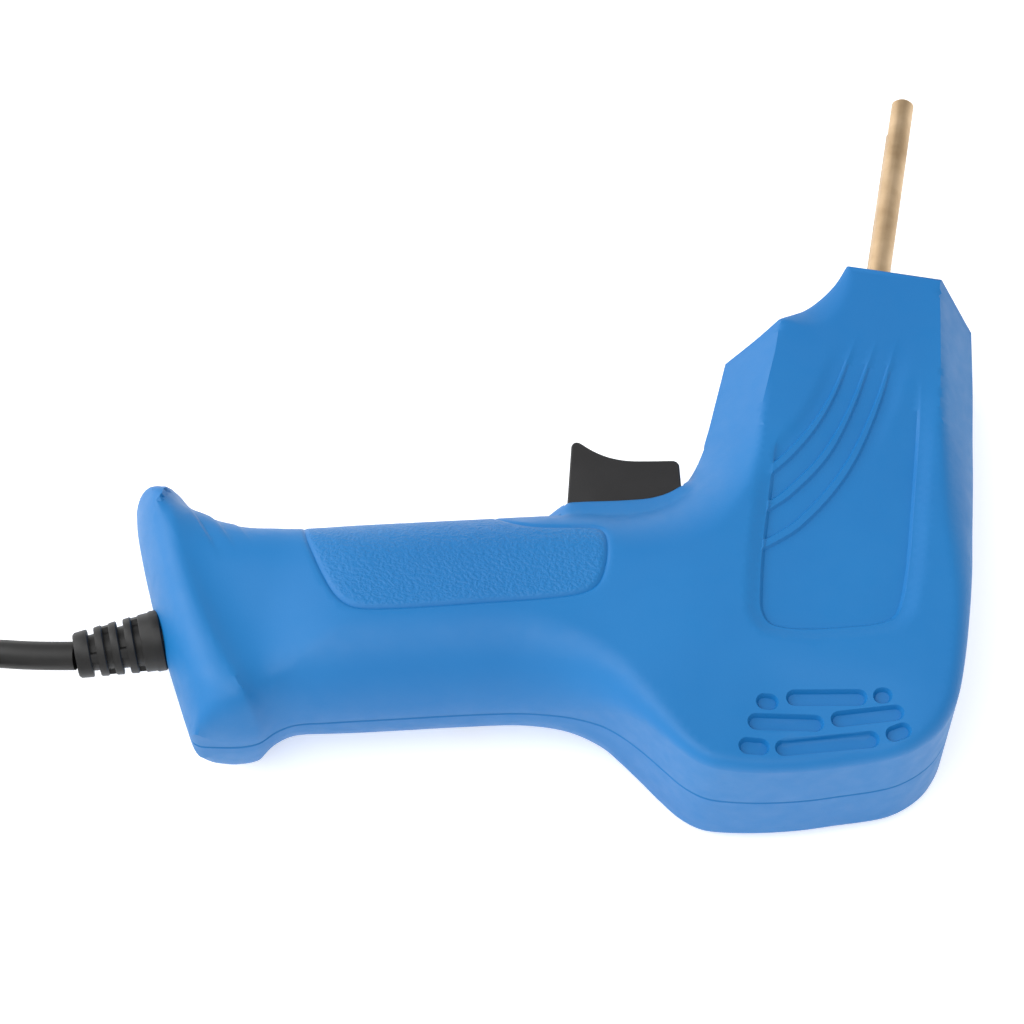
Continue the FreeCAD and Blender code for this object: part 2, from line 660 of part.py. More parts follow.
# ---------------------------------------------------------------- fasteners
def housing_screws():
    screws = []
    for x, y in SCREW_XY:
        shank = rod(SCREW_R, V(x, y, SCREW_SEAT_Z - 0.5), V(x, y, SCREW_TIP_Z))
        head = rod(SCREW_HEAD_R, V(x, y, SCREW_SEAT_Z - 2.05), V(x, y, SCREW_SEAT_Z - 0.05))
        screw = fuse([shank, head])
        cross = Part.makeCompound([
            box(x - 1.7, x + 1.7, y - 0.3, y + 0.3, 0, SCREW_SEAT_Z - 1.0),
            box(x - 0.3, x + 0.3, y - 1.7, y + 1.7, 0, SCREW_SEAT_Z - 1.0)])
        screws.append(screw.cut(cross))
    return group(screws)


# ---------------------------------------------------------------- export
def save(name, shape):
    shape = shape.copy()
    shape.translate(V(-ORIGIN.x, -ORIGIN.y, 0))
    shape.exportStep("parts/%s.step" % name)
    b = shape.BoundBox
    print("%-22s %s solids %d  x %.1f..%.1f  y %.1f..%.1f  z %.1f..%.1f" % (
        name, shape.isValid(), len(shape.Solids), b.XMin, b.XMax, b.YMin, b.YMax, b.ZMin, b.ZMax))


def main():
    os.makedirs("parts", exist_ok=True)
    upper, lower = housing_halves()
    live, neutral, load = wires()
    nodes = {
        "housing_upper": upper,
        "housing_lower": lower,
        "housing_screws": housing_screws(),
        "electrode_upper": electrode(ROD_ZS[0]),
        "electrode_lower": electrode(ROD_ZS[1]),
        "electrode_insulator": electrode_insulator(),
        "terminal_upper": terminal(ROD_ZS[0]),
        "terminal_lower": terminal(ROD_ZS[1]),
        "terminal_set_screws": set_screws(),
        "secondary_strap": secondary_strap(),
        "transformer_core": transformer_core(),
        "bobbin": bobbin(),
        "primary_winding": winding_ring(*PRIMARY_Y, 4.6, 2.6),
        "trigger": trigger(),
        "trigger_spring": trigger_spring(),
        "contact_bridge": contact_bridge(),
        "switch_base": switch_base(),
        "fixed_contacts": fixed_contacts(),
        "live_wire": route_tube(live, WIRE_D, "live_wire"),
        "neutral_wire": route_tube(neutral, WIRE_D, "neutral_wire"),
        "load_wire": route_tube(load, WIRE_D, "load_wire"),
        "cord_clamp": cord_clamp(),
        "clamp_saddle": clamp_saddle(),
        "cord_clamp_screws": clamp_screws(),
        "cord_inner": cord_inner(),
        "strain_relief": strain_relief(),
        "cord_lead": route_tube(lead_route(), CORD_D, "cord_lead"),
        "cord_coil": cord_coil(),
        "cord_tail": route_tube(tail_route(), CORD_D, "cord_tail"),
        "cable_tie": cable_tie(),
        "plug_body": plug_body(),
        "plug_pins": plug_pins(),
    }
    for name, shape in nodes.items():
        save(name, shape)


main()
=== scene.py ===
"""Looks of a mains hot stapler for plastic repair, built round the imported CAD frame.

Lengths are written in millimetres and turned into metres by place(). Plan coordinates are
measured from a point on the finger side of the grip: +X to the back of the body, +Y along
the electrodes. The frame's own origin lies at PLAN_ORIGIN in that plan.
"""

import json
import math

import bmesh
import bpy
import numpy as np
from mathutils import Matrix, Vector
from mathutils.geometry import delaunay_2d_cdt


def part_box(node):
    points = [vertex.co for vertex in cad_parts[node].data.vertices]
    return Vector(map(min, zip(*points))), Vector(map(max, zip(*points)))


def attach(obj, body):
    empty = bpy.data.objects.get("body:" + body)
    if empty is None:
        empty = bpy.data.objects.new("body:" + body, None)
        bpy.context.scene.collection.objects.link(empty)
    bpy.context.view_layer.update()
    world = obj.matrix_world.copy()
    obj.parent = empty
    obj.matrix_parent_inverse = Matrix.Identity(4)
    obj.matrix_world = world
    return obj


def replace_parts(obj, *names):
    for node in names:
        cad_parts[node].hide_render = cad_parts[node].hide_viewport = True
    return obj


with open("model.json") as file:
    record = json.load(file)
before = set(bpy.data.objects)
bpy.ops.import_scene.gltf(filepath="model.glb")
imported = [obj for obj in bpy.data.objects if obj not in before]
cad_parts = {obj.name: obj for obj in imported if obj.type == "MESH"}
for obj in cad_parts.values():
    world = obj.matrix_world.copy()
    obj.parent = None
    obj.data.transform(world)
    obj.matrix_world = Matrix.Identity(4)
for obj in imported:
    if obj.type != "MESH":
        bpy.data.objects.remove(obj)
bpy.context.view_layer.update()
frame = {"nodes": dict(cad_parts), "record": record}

# ---------------------------------------------------------------- sizes, mm
MM = 0.001
PLAN_ORIGIN = (9.7, 26.5)
FACE_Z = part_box("housing_upper")[1].z / MM   # upper side face
SPLIT_Z = FACE_Z / 2                         # parting plane
WALL = 2.4
GRIP_TOP = SPLIT_Z + 17.6                    # crown of the grip
GRIP_SLOPE = math.radians(13.15)             # grip axis to +X
SEAM_GAP = 0.09                              # each half stops this far from the parting plane
SEAM_LIP = 0.3                               # small bevel along the seam

ROD_X = 69.7
ROD_R = 2.5
ROD_ZS = (SPLIT_Z + 6.0, SPLIT_Z - 6.0)

TRIGGER_AT = np.array([20.0, 3.0])           # origin of the trigger's own plan axes
TRIGGER_HALF_W = 7.5

RELIEF_AT = Vector((-66.0, -42.9, SPLIT_Z))
RELIEF_DIR = Vector((-0.927, -0.375, 0.0)).normalized()
RELIEF_LEN = 18.4
RELIEF_BORE_R = 3.02                         # round the cord
RELIEF_SLOTS = 4
RELIEF_SLOT_START = 4.6                      # along the sleeve
RELIEF_SLOT_PITCH = 3.1
RELIEF_SLOT_LEN = 1.35

CORD_D = 6.0
COIL_AT = (-144.0, -98.0)
COIL_OUTER = 42.0
COIL_INNER = 24.0
PLUG_X = -98.0
PLUG_Y = -141.0
PLUG_HALF_THICK = 6.9

SCREW_XY = [(-63.0, -26.0), (-47.0, -56.0), (-1.0, -44.0), (48.0, -50.0),
            (86.5, -44.0), (87.0, 36.0), (46.0, 28.0)]
SCREW_SEAT_Z = 11.5
SCREW_SHAFT_R = 1.7
SCREW_COLUMN_R = 3.9
COUNTERBORE_R = 3.2

CAMERA_AT = (57.0, -320.0, 581.4)
CAMERA_LENS = 107.2                          # on a sensor 36 mm wide
# Name, place in metres, side in metres and watts of each square light
LIGHTS = [("left", (-1.3, 0.1, 0.75), 1.1, 11.0),
          ("top", (-0.4, -0.45, 1.5), 1.5, 17.0)]


def place(x, y, z):
    """Plan millimetres to metres in the frame."""
    return Vector(((x - PLAN_ORIGIN[0]) * MM, (y - PLAN_ORIGIN[1]) * MM, z * MM))


# ---------------------------------------------------------------- plan curves
def smooth_line(points, step):
    """Smooth line through rows of numbers, sampled about every step along x and y."""
    rows = np.array(points, float)
    chords = np.linalg.norm(np.diff(rows[:, :2], axis=0), axis=1)
    at = np.concatenate([[0.0], np.cumsum(chords)])
    slopes = np.empty_like(rows)
    slopes[1:-1] = (rows[2:] - rows[:-2]) / (at[2:] - at[:-2])[:, None]
    slopes[0] = (rows[1] - rows[0]) / chords[0]
    slopes[-1] = (rows[-1] - rows[-2]) / chords[-1]
    made = []
    for k, chord in enumerate(chords):
        count = max(1, int(round(chord / step)))
        for t in np.arange(count) / count:
            h = (2 * t**3 - 3 * t**2 + 1, t**3 - 2 * t**2 + t, 3 * t**2 - 2 * t**3, t**3 - t**2)
            made.append(h[0] * rows[k] + h[1] * chord * slopes[k]
                        + h[2] * rows[k + 1] + h[3] * chord * slopes[k + 1])
    made.append(rows[-1])
    return np.array(made)


def measure(line, xy, reach=0.0):
    """For each point: signed distance to the line, positive on its left, and the line's
    other columns there. The ends are carried on straight by reach."""
    rows = line
    if reach:
        first = rows[0].copy()
        last = rows[-1].copy()
        start = rows[0, :2] - rows[1, :2]
        end = rows[-1, :2] - rows[-2, :2]
        first[:2] += start / np.linalg.norm(start) * reach
        last[:2] += end / np.linalg.norm(end) * reach
        rows = np.vstack([first, rows, last])
    best = np.full(len(xy), 1e9)
    side = np.ones(len(xy))
    extra = np.zeros((len(xy), rows.shape[1] - 2))
    for a, b in zip(rows, rows[1:]):
        run = b[:2] - a[:2]
        rel = xy - a[:2]
        t = np.clip(rel @ run / (run @ run), 0, 1)
        gap = np.linalg.norm(rel - t[:, None] * run, axis=1)
        near = gap < best
        best[near] = gap[near]
        side[near] = np.sign(run[0] * rel[near, 1] - run[1] * rel[near, 0])
        if extra.shape[1]:
            extra[near] = a[2:] + t[near, None] * (b[2:] - a[2:])
    side[side == 0] = 1
    return best * side, extra


def ramp(value, low, high):
    """Smooth step from 0 at low to 1 at high."""
    t = np.clip((value - low) / (high - low), 0, 1)
    return t * t * (3 - 2 * t)


def offset_line(line, distance):
    """The line moved to its left."""
    run = np.gradient(line[:, :2], axis=0)
    run /= np.linalg.norm(run, axis=1)[:, None]
    return line[:, :2] + distance * np.stack([-run[:, 1], run[:, 0]], 1)


# Edges of the body in plan, anticlockwise. Each row: x, y, then the edge profile there:
# how far it reaches in, how far it drops, and its power (1 a flat bevel, 2 a round).
UNDER = smooth_line([
    (-50.5, -65.4, 9, 15, 2), (-45.0, -64.4, 9.5, 15.5, 2), (-41.2, -62.8, 10, 16, 2),
    (-38.4, -59.8, 12, 16, 2), (-35.0, -57.6, 14, 16, 2), (-29.0, -56.0, 15.5, 16, 2),
    (-14.7, -52.5, 15.5, 16, 2), (1.5, -48.6, 15.5, 16, 2), (11.0, -46.7, 15.2, 16, 2),
    (19.5, -46.0, 12.5, 15, 2), (26.6, -46.6, 9.0, 11, 2), (31.2, -48.3, 6.5, 7.5, 2),
    (36.0, -51.0, 4.8, 5.0, 2), (40.7, -54.2, 3.6, 3.6, 2), (45.4, -57.3, 3.0, 3.0, 2),
    (50.1, -59.0, 2.6, 2.6, 2), (55.0, -59.0, 2.5, 2.5, 2), (62.0, -58.0, 2.5, 2.5, 2),
    (70.0, -56.1, 2.5, 2.5, 2), (77.0, -53.8, 2.5, 2.5, 2), (84.4, -51.2, 2.5, 2.5, 2),
    (88.7, -49.0, 2.6, 2.6, 2), (92.6, -45.6, 2.8, 2.8, 2), (95.2, -41.8, 3.0, 3.0, 2),
    (97.0, -36.0, 3.0, 3.0, 2), (97.6, -27.0, 3.2, 3.2, 2), (97.5, -15.0, 4.0, 4.0, 2),
    (97.1, -5.0, 5.5, 5.2, 1.8), (96.4, 5.0, 6.8, 7.2, 1.55), (95.4, 19.0, 7.6, 9.5, 1.3),
    (94.4, 30.0, 7.9, 11.0, 1.12), (93.2, 43.0, 8.0, 11.8, 1.02), (91.4, 58.6, 8.2, 12.5, 1.0),
], 0.8)
NOSE_BACK = np.array([(91.4, 58.6, 1.0, 1.0, 2), (83.0, 63.2, 1.0, 1.0, 2)])
NOSE = np.array([(83.0, 63.2, 0.9, 1.2, 2), (62.4, 63.2, 0.9, 1.2, 2)])
FRONT = smooth_line([
    (62.4, 63.2, 0.9, 0.9, 1.3), (60.6, 58.7, 3.4, 1.7, 1.3), (58.0, 54.9, 5.6, 2.6, 1.3),
    (55.0, 51.4, 6.5, 2.6, 1.3), (52.5, 49.1, 4.5, 1.6, 1.3), (50.3, 47.3, 1.2, 0.8, 1.3),
    (45.4, 43.8, 1.0, 0.8, 1.3), (39.7, 40.6, 1.0, 0.8, 1.3),
], 0.8)
FINGER = smooth_line([
    (39.7, 40.6, 10.3, 11.5, 1), (38.9, 28.8, 10.6, 11.6, 1), (38.4, 22.6, 11.2, 12.2, 1.05),
    (37.4, 16.2, 13.0, 13.2, 1.15), (34.8, 9.9, 15.6, 14.5, 1.3), (30.2, 4.4, 18, 15.5, 1.6),
    (24.5, 0.9, 17.5, 16, 1.85), (16.3, -1.2, 16, 16, 2), (6.9, -3.3, 15.5, 16, 2),
    (-5.3, -6.2, 15.5, 16, 2), (-29.7, -12.0, 15.5, 16, 2), (-41.9, -14.9, 15.5, 16, 2),
    (-48.5, -15.9, 15, 16, 2), (-51.8, -16.4, 14.5, 16, 2), (-55.3, -16.3, 14, 16, 2),
    (-58.8, -15.9, 13.5, 16, 2), (-62.5, -14.6, 12, 16, 1.8), (-66.1, -13.4, 10, 15.5, 1.5),
    (-69.0, -11.4, 8.5, 14.5, 1.4), (-71.0, -11.0, 7.5, 13, 1.4), (-73.0, -11.7, 6.5, 12, 1.4),
    (-76.0, -13.6, 4.5, 9, 1.6), (-78.2, -15.8, 3, 7, 1.8),
], 0.8)
BUTT = smooth_line([
    (-78.2, -15.8, 8.8, 16.5, 1.5), (-76.8, -20.4, 8.6, 16.5, 1.5), (-73.9, -27.5, 8.2, 16.5, 1.5),
    (-71.3, -33.3, 8.0, 16.5, 1.5), (-66.3, -43.8, 8.2, 16.5, 1.5), (-58.7, -58.1, 9.5, 16.5, 1.5),
    (-55.6, -63.7, 11, 16.5, 1.5),
], 0.8)
COLLAR = smooth_line([
    (38.4, 19.5), (36.6, 12.6), (33.6, 7.2), (29.5, 4.4), (23.5, 2.6), (14.5, 0.6),
    (11.2, -0.3), (8.2, -1.9), (3.5, -3.9),
], 0.6)
COLLAR_Z = 26.7            # ledge round the trigger's opening
COLLAR_ROUND = 0.9         # radius of the ledge's outer edge
RIDGE = smooth_line([
    (-37.5, -66.0), (-40.5, -63.8), (-46.4, -56.6), (-51.2, -50.9), (-58.0, -41.0),
    (-64.8, -28.5), (-68.2, -19.2), (-69.6, -11.5),
], 0.8)
PAD = smooth_line([
    (-43.0, -9.0), (-41.0, -17.0), (-38.6, -23.0), (-31.6, -33.6), (-27.0, -37.0), (-21.0, -36.8),
    (0.0, -31.6), (17.0, -26.9), (21.6, -24.0), (22.8, -19.0), (21.9, -12.0), (19.8, -9.6),
    (12.0, -10.6), (6.5, -11.2), (1.5, -10.3), (-1.8, -8.2), (-4.5, -4.0),
], 0.6)
RECESS = smooth_line([
    (53.0, 50.0), (53.1, 30.0), (53.2, 11.6), (53.4, 2.3), (53.8, -9.7), (54.6, -19.0),
    (55.4, -23.6), (57.4, -26.4), (61.0, -27.0), (66.0, -26.4), (72.0, -25.0), (79.0, -22.9),
    (82.6, -20.6), (83.8, -16.2), (84.0, -6.7), (83.5, 5.2), (82.9, 17.4), (82.3, 27.2),
    (81.4, 38.0), (80.4, 50.0),
], 0.6)
# Raised bands. Each row: x, y on the left edge, then the band's width to the right of it
SWOOSHES = [smooth_line(rows, 0.5) for rows in (
    [(52.4, 9.6, 1.5), (56.0, 14.6, 1.5), (60.0, 21.6, 1.2), (63.4, 31.0, 0.8), (66.6, 46.0, 0.3)],
    [(51.8, 0.2, 1.6), (56.8, 5.6, 1.6), (63.2, 15.6, 1.4), (67.4, 28.0, 0.9), (70.9, 46.0, 0.3)],
    [(51.8, -9.0, 1.7), (59.6, -1.6, 1.7), (67.4, 12.0, 1.5), (72.2, 28.0, 1.0), (75.2, 47.0, 0.3)],
)]
# Blind vent slots: centre of each end, and half width
SLOTS = [((59.0, -43.9), (60.1, -43.8), 1.5), ((64.8, -42.0), (77.4, -39.8), 1.5),
         ((81.8, -38.7), (82.3, -38.6), 1.45), ((58.0, -48.5), (69.6, -46.7), 1.55),
         ((74.2, -45.0), (85.0, -41.9), 1.5), ((57.0, -54.0), (59.6, -53.7), 1.6),
         ((64.2, -53.0), (80.8, -48.3), 1.6), ((85.3, -46.4), (86.9, -45.5), 1.5)]
SLOT_DEPTH = 1.1
GROOVE_DEPTH = 0.5
GROOVE_HALF_W = 0.42
RECESS_DEPTH = 1.8
LIP_DROP = 0.95            # part of the recess's depth that its sloping lip takes
LIP_WIDTH = 2.9
SWOOSH_RISE = 0.55
DISH_AT = (72.0, -46.5)    # shallow dish round the vent slots
DISH_HALF = (15.0, 11.0)
DISH_DEPTH = 0.7
BELLY_DROP = 1.6           # fall of the side face towards its lower edge
RIDGE_RISE = 0.85
RIDGE_WIDTH = 8.0
FLARE_HOLLOW = 1.9         # hollow of the butt behind its ridge


def outline():
    """Plan outline of the housing, anticlockwise."""
    belly_corner = smooth_line([(-55.6, -63.7), (-54.6, -65.0), (-52.9, -65.6),
                                (-50.5, -65.4)], 0.5)
    collar_from, collar_to = [np.argmin(np.linalg.norm(FINGER[:, :2] - end, axis=1))
                              for end in (COLLAR[0], COLLAR[-1])]
    finger = np.vstack([FINGER[:collar_from, :2], COLLAR, FINGER[collar_to + 1:, :2]])
    rows = [belly_corner, UNDER[1:, :2], NOSE_BACK[1:, :2], NOSE[1:, :2], FRONT[1:, :2],
            finger[1:], BUTT[1:-1, :2]]
    return np.vstack(rows)


# ---------------------------------------------------------------- height of the upper half
OUTSIDE = -100.0           # height beyond an edge, below every other
EDGE_REACH = 60.0          # each edge line is carried on straight by this much
SIDE_KNOWN = 40.0          # further off, the side of a carried-on line means nothing


def edge_height(top, line, xy, inset):
    """Height under one edge profile. A larger inset gives the surface inside the wall."""
    gap, profile = measure(line, xy, reach=EDGE_REACH)
    gap = np.where(np.abs(gap) > SIDE_KNOWN, np.abs(gap), gap)
    reach, drop, power = profile.T
    inner = np.maximum(reach - inset, 0.6)
    drop = drop * inner / reach
    u = np.clip(1 - (gap - inset) / inner, 0, 1)
    fall = 1 - np.maximum(1 - u**power, 0) ** (1 / power)
    height = top - inset - drop * fall
    return np.where(gap < inset - 0.02, OUTSIDE, height)


def crown(xy):
    """Height of the side face before its edges and details."""
    x = xy[:, 0]
    y = xy[:, 1]
    top = GRIP_TOP + (FACE_Z - GRIP_TOP) * ramp(x, 18.0, 46.0)
    top = top - BELLY_DROP * ramp(-y, 27.0, 60.0) * ramp(x, 35.0, 60.0)
    from_ridge = -measure(RIDGE, xy)[0]
    s = np.sqrt(np.maximum(from_ridge, 0) ** 2 + 0.6**2) / RIDGE_WIDTH
    butt = ramp(-x, 20.0, 45.0) * (0.5 + 0.5 * ramp(-y, 25.0, 45.0))
    return top + butt * (RIDGE_RISE * np.exp(-s) - FLARE_HOLLOW * s * np.exp(1 - s))


# Scallops: a corner of the first one, the way they run and the way they follow each other
RIPPLE_AT = np.array([-62.5, -21.3])
RIPPLE_ALONG = np.array([0.62, -0.78])
RIPPLE_ACROSS = np.array([0.78, 0.62])
RIPPLE_PITCH = 3.6
RIPPLE_COUNT = 3
RIPPLE_DEPTH = 0.7
RIPPLE_EDGE = 0.16         # share of the pitch that the steep side takes
RIPPLE_FROM = -9.0
RIPPLE_TO = 12.0


def ripples(xy):
    """Three scallops at the finger side of the flare, which fade out down the grip."""
    along = (xy - RIPPLE_AT) @ RIPPLE_ALONG
    tooth = (xy - RIPPLE_AT) @ RIPPLE_ACROSS / RIPPLE_PITCH
    edge = ramp(tooth % 1.0, 0.0, RIPPLE_EDGE)
    within = (tooth > 0) & (tooth < RIPPLE_COUNT)
    fade = (1 - ramp(along, -2.0, RIPPLE_TO)) * ramp(along, RIPPLE_FROM, -4.0)
    return -RIPPLE_DEPTH * (1 - (tooth % 1.0)) ** 1.3 * edge * within * fade


def ripple_lines():
    """Creases at the start, middle and end of each scallop's steep side."""
    lines = []
    for tooth in range(RIPPLE_COUNT):
        for share in (0.0, RIPPLE_EDGE / 2, RIPPLE_EDGE):
            start = RIPPLE_AT + (tooth + share) * RIPPLE_PITCH * RIPPLE_ACROSS
            steps = np.arange(RIPPLE_FROM, RIPPLE_TO, 0.7)
            lines.append(np.array([start + t * RIPPLE_ALONG for t in steps]))
    return lines


def slot_gap(xy, slot):
    """Distance of each point from the slot's edge, negative inside it."""
    a, b, half = np.array(slot[0]), np.array(slot[1]), slot[2]
    run = b - a
    t = np.clip((xy - a) @ run / (run @ run), 0, 1)
    return np.linalg.norm(xy - a - t[:, None] * run, axis=1) - half


def details(xy):
    """Recess, swooshes, vent slots, their dish and the pad's groove, as height changes."""
    x = xy[:, 0]
    y = xy[:, 1]
    gap = measure(RECESS, xy)[0]
    across = np.clip((x - 54.0) / 28.0, 0, 1)
    shallow = 1 - ramp(y, 2.0 + 12.0 * across, 15.0 + 27.0 * across)
    lip = np.clip((gap + 3.0) / LIP_WIDTH, 0, 1)
    wall = ramp(gap, 0.0, 0.7)
    change = -(LIP_DROP * lip + (RECESS_DEPTH - LIP_DROP) * wall) * shallow
    raised = np.zeros(len(xy))
    near = np.full(len(xy), np.inf)
    for swoosh in SWOOSHES:
        off, width = measure(swoosh, xy)
        rise = ramp(-off, -0.2, 0.2) * (1 - ramp(-off - width[:, 0], -0.1, 0.4))
        raised = np.maximum(raised, rise)
        near = np.minimum(near, np.abs(off + width[:, 0] / 2))
    zone = ramp(gap, -0.2, 0.6) * (1 - ramp(y, 28.0, 47.0))
    dip = zone * (1 - shallow) * (1 - ramp(near, 2.0, 4.5))
    change += SWOOSH_RISE * (raised * zone - dip)
    for slot in SLOTS:
        change -= SLOT_DEPTH * (1 - ramp(slot_gap(xy, slot), -0.3, 0.25))
    dish_x = (x - DISH_AT[0]) / DISH_HALF[0]
    dish_y = (y - DISH_AT[1]) / DISH_HALF[1]
    change -= DISH_DEPTH * np.exp(-dish_x ** 4 - dish_y ** 4)
    groove = np.abs(measure(PAD, xy)[0])
    change -= GROOVE_DEPTH * np.exp(-(groove / GROOVE_HALF_W) ** 2)
    return change


def soft_min(a, b, blend):
    """Smaller of two heights, with a round fillet where they cross."""
    share = np.clip(0.5 + 0.5 * (b - a) / blend, 0, 1)
    return b * (1 - share) + a * share - blend * share * (1 - share)


def upper_height(xy, inset=0.0):
    """Height of the upper half over each point, or of its inside when inset is the wall."""
    top = crown(xy)
    if not inset:
        top = top + details(xy)
    under, back, nose, front, finger, butt = [
        edge_height(top, line, xy, inset) for line in (UNDER, NOSE_BACK, NOSE, FRONT, FINGER, BUTT)]
    blend = 0.01 + 5.0 * ramp(-xy[:, 0], 25.0, 45.0)
    height = soft_min(soft_min(under, butt, blend), finger, blend)
    height = np.min([height, back, nose, front], axis=0)
    if not inset:
        height = with_collar(height + ripples(xy), xy)
    return np.maximum(height, SPLIT_Z + SEAM_LIP + 0.3)


def with_collar(height, xy):
    """The height, raised to the ledge round the trigger's opening."""
    x = xy[:, 0]
    y = xy[:, 1]
    rim = measure(COLLAR, xy)[0]
    u = np.clip(1 - rim / COLLAR_ROUND, 0, 1)
    ends = ramp(x, 3.0, 13.0) * (1 - ramp(y, 6.0, 19.5))
    rounded = COLLAR_ROUND * (1 - np.sqrt(np.maximum(1 - u * u, 0)))
    ledge = COLLAR_Z - 7.5 * (1 - ends) + 0.45 * rim - rounded
    near_trigger = (rim > -1e-6) & (rim < 6) & (x > 3) & (x < 38.4) & (y > -8)
    return np.where(near_trigger, np.maximum(height, ledge), height)


# ---------------------------------------------------------------- shells
def inside(polygon, xy):
    """Whether each point lies inside the closed polygon."""
    found = np.zeros(len(xy), bool)
    for a, b in zip(polygon, np.roll(polygon, -1, axis=0)):
        crosses = (a[1] > xy[:, 1]) != (b[1] > xy[:, 1])
        with np.errstate(divide="ignore", invalid="ignore"):
            x = a[0] + (xy[:, 1] - a[1]) * (b[0] - a[0]) / (b[1] - a[1])
        found ^= crosses & (xy[:, 0] < x)
    return found


def closed_gap(polygon, xy):
    """Signed distance to the closed polygon, positive inside."""
    return measure(np.vstack([polygon, polygon[:1]]), xy)[0]


def triangulate(polygon, lines, spacing):
    """Plan triangulation of the polygon with the lines as creases: points and triangles."""
    low = polygon.min(0)
    high = polygon.max(0)
    gx = np.arange(low[0], high[0], spacing)
    gy = np.arange(low[1], high[1], spacing * 0.87)
    rows = [np.stack([gx + (k % 2) * spacing / 2, np.full(len(gx), y)], 1)
            for k, y in enumerate(gy)]
    grid = np.vstack(rows)
    grid = grid[inside(polygon, grid)]
    keep = closed_gap(polygon, grid) > spacing * 0.4
    for line in lines:
        keep &= np.abs(measure(line, grid)[0]) > spacing * 0.35
    grid = grid[keep]
    points = list(polygon)
    edges = [(k, (k + 1) % len(polygon)) for k in range(len(polygon))]
    for line in lines:
        within = inside(polygon, line[:, :2]) & (closed_gap(polygon, line[:, :2]) > 0.05)
        first = len(points)
        points += list(line[:, :2])
        edges += [(first + k, first + k + 1) for k in range(len(line) - 1)
                  if within[k] and within[k + 1]]
    points += list(grid)
    made = delaunay_2d_cdt([Vector(p) for p in points], edges, [], 0, 1e-5, False)
    xy = np.array([v[:] for v in made[0]])
    faces = np.array([f[:] for f in made[2]])
    centres = xy[faces].mean(1)
    faces = faces[inside(polygon, centres)]
    used = np.unique(faces)
    index = np.full(len(xy), -1)
    index[used] = np.arange(len(used))
    return xy[used], index[faces]


def boundary_loop(faces):
    """Vertices of the one open edge loop of the triangles, in order."""
    following = {}
    for a, b, c in faces:
        for edge in ((a, b), (b, c), (c, a)):
            following[edge[0]] = following.get(edge[0], []) + [edge[1]]
    directed = {(a, b) for a, nexts in following.items() for b in nexts}
    step = {a: b for a, b in directed if (b, a) not in directed}
    start = next(iter(step))
    loop = [start]
    while step[loop[-1]] != start:
        loop.append(step[loop[-1]])
    return loop


def crease_lines():
    """Lines along which the surface bends sharply."""
    lines = []
    for edges, depths in (
            ([UNDER, FINGER], (0.12, 0.45, 1.0, 1.8, 2.8, 4.2, 6.0, 8.3)),
            ([BUTT], (0.15, 0.5, 1.2, 2.4, 4.5)),
            ([FRONT, NOSE, NOSE_BACK], (0.15, 0.5, 1.0)),
            ([COLLAR], (0.3, 0.9)),
            ([FINGER[:60]], (10.45,))):
        lines += [offset_line(edge, depth) for depth in depths for edge in edges]
    lines.append(RIDGE)
    lines += ripple_lines()
    lines += [offset_line(PAD, off) for off in (-0.9, -0.45, 0.0, 0.45, 0.9)]
    lines += [offset_line(RECESS, off) for off in (-3.0, -1.5, -0.1, 0.0, 0.25, 0.7)]
    for swoosh in SWOOSHES:
        width = swoosh[:, 2:3]
        lines += [offset_line(swoosh, off) for off in (0.2, -0.2, -width + 0.1, -width - 0.4)]
    for a, b, half in SLOTS:
        lines += [slot_loop(a, b, half + off) for off in (-0.3, -0.02, 0.25)]
    return lines


def slot_loop(a, b, radius):
    """Closed line round a slot."""
    a, b = np.array(a), np.array(b)
    heading = math.atan2(*(b - a)[::-1])
    points = []
    for centre, start in ((b, heading - math.pi / 2), (a, heading + math.pi / 2)):
        for turn in np.linspace(0, math.pi, 13):
            spoke = np.array([math.cos(start + turn), math.sin(start + turn)])
            points.append(centre + radius * spoke)
    points.append(points[0])
    return np.array(points)


def new_object(name, data):
    made = bpy.data.objects.new(name, data)
    bpy.context.scene.collection.objects.link(made)
    return made


def mesh_object(name, points, faces):
    mesh = bpy.data.meshes.new(name)
    mesh.from_pydata([tuple(p) for p in points], [], [tuple(f) for f in faces])
    mesh.update()
    return new_object(name, mesh)


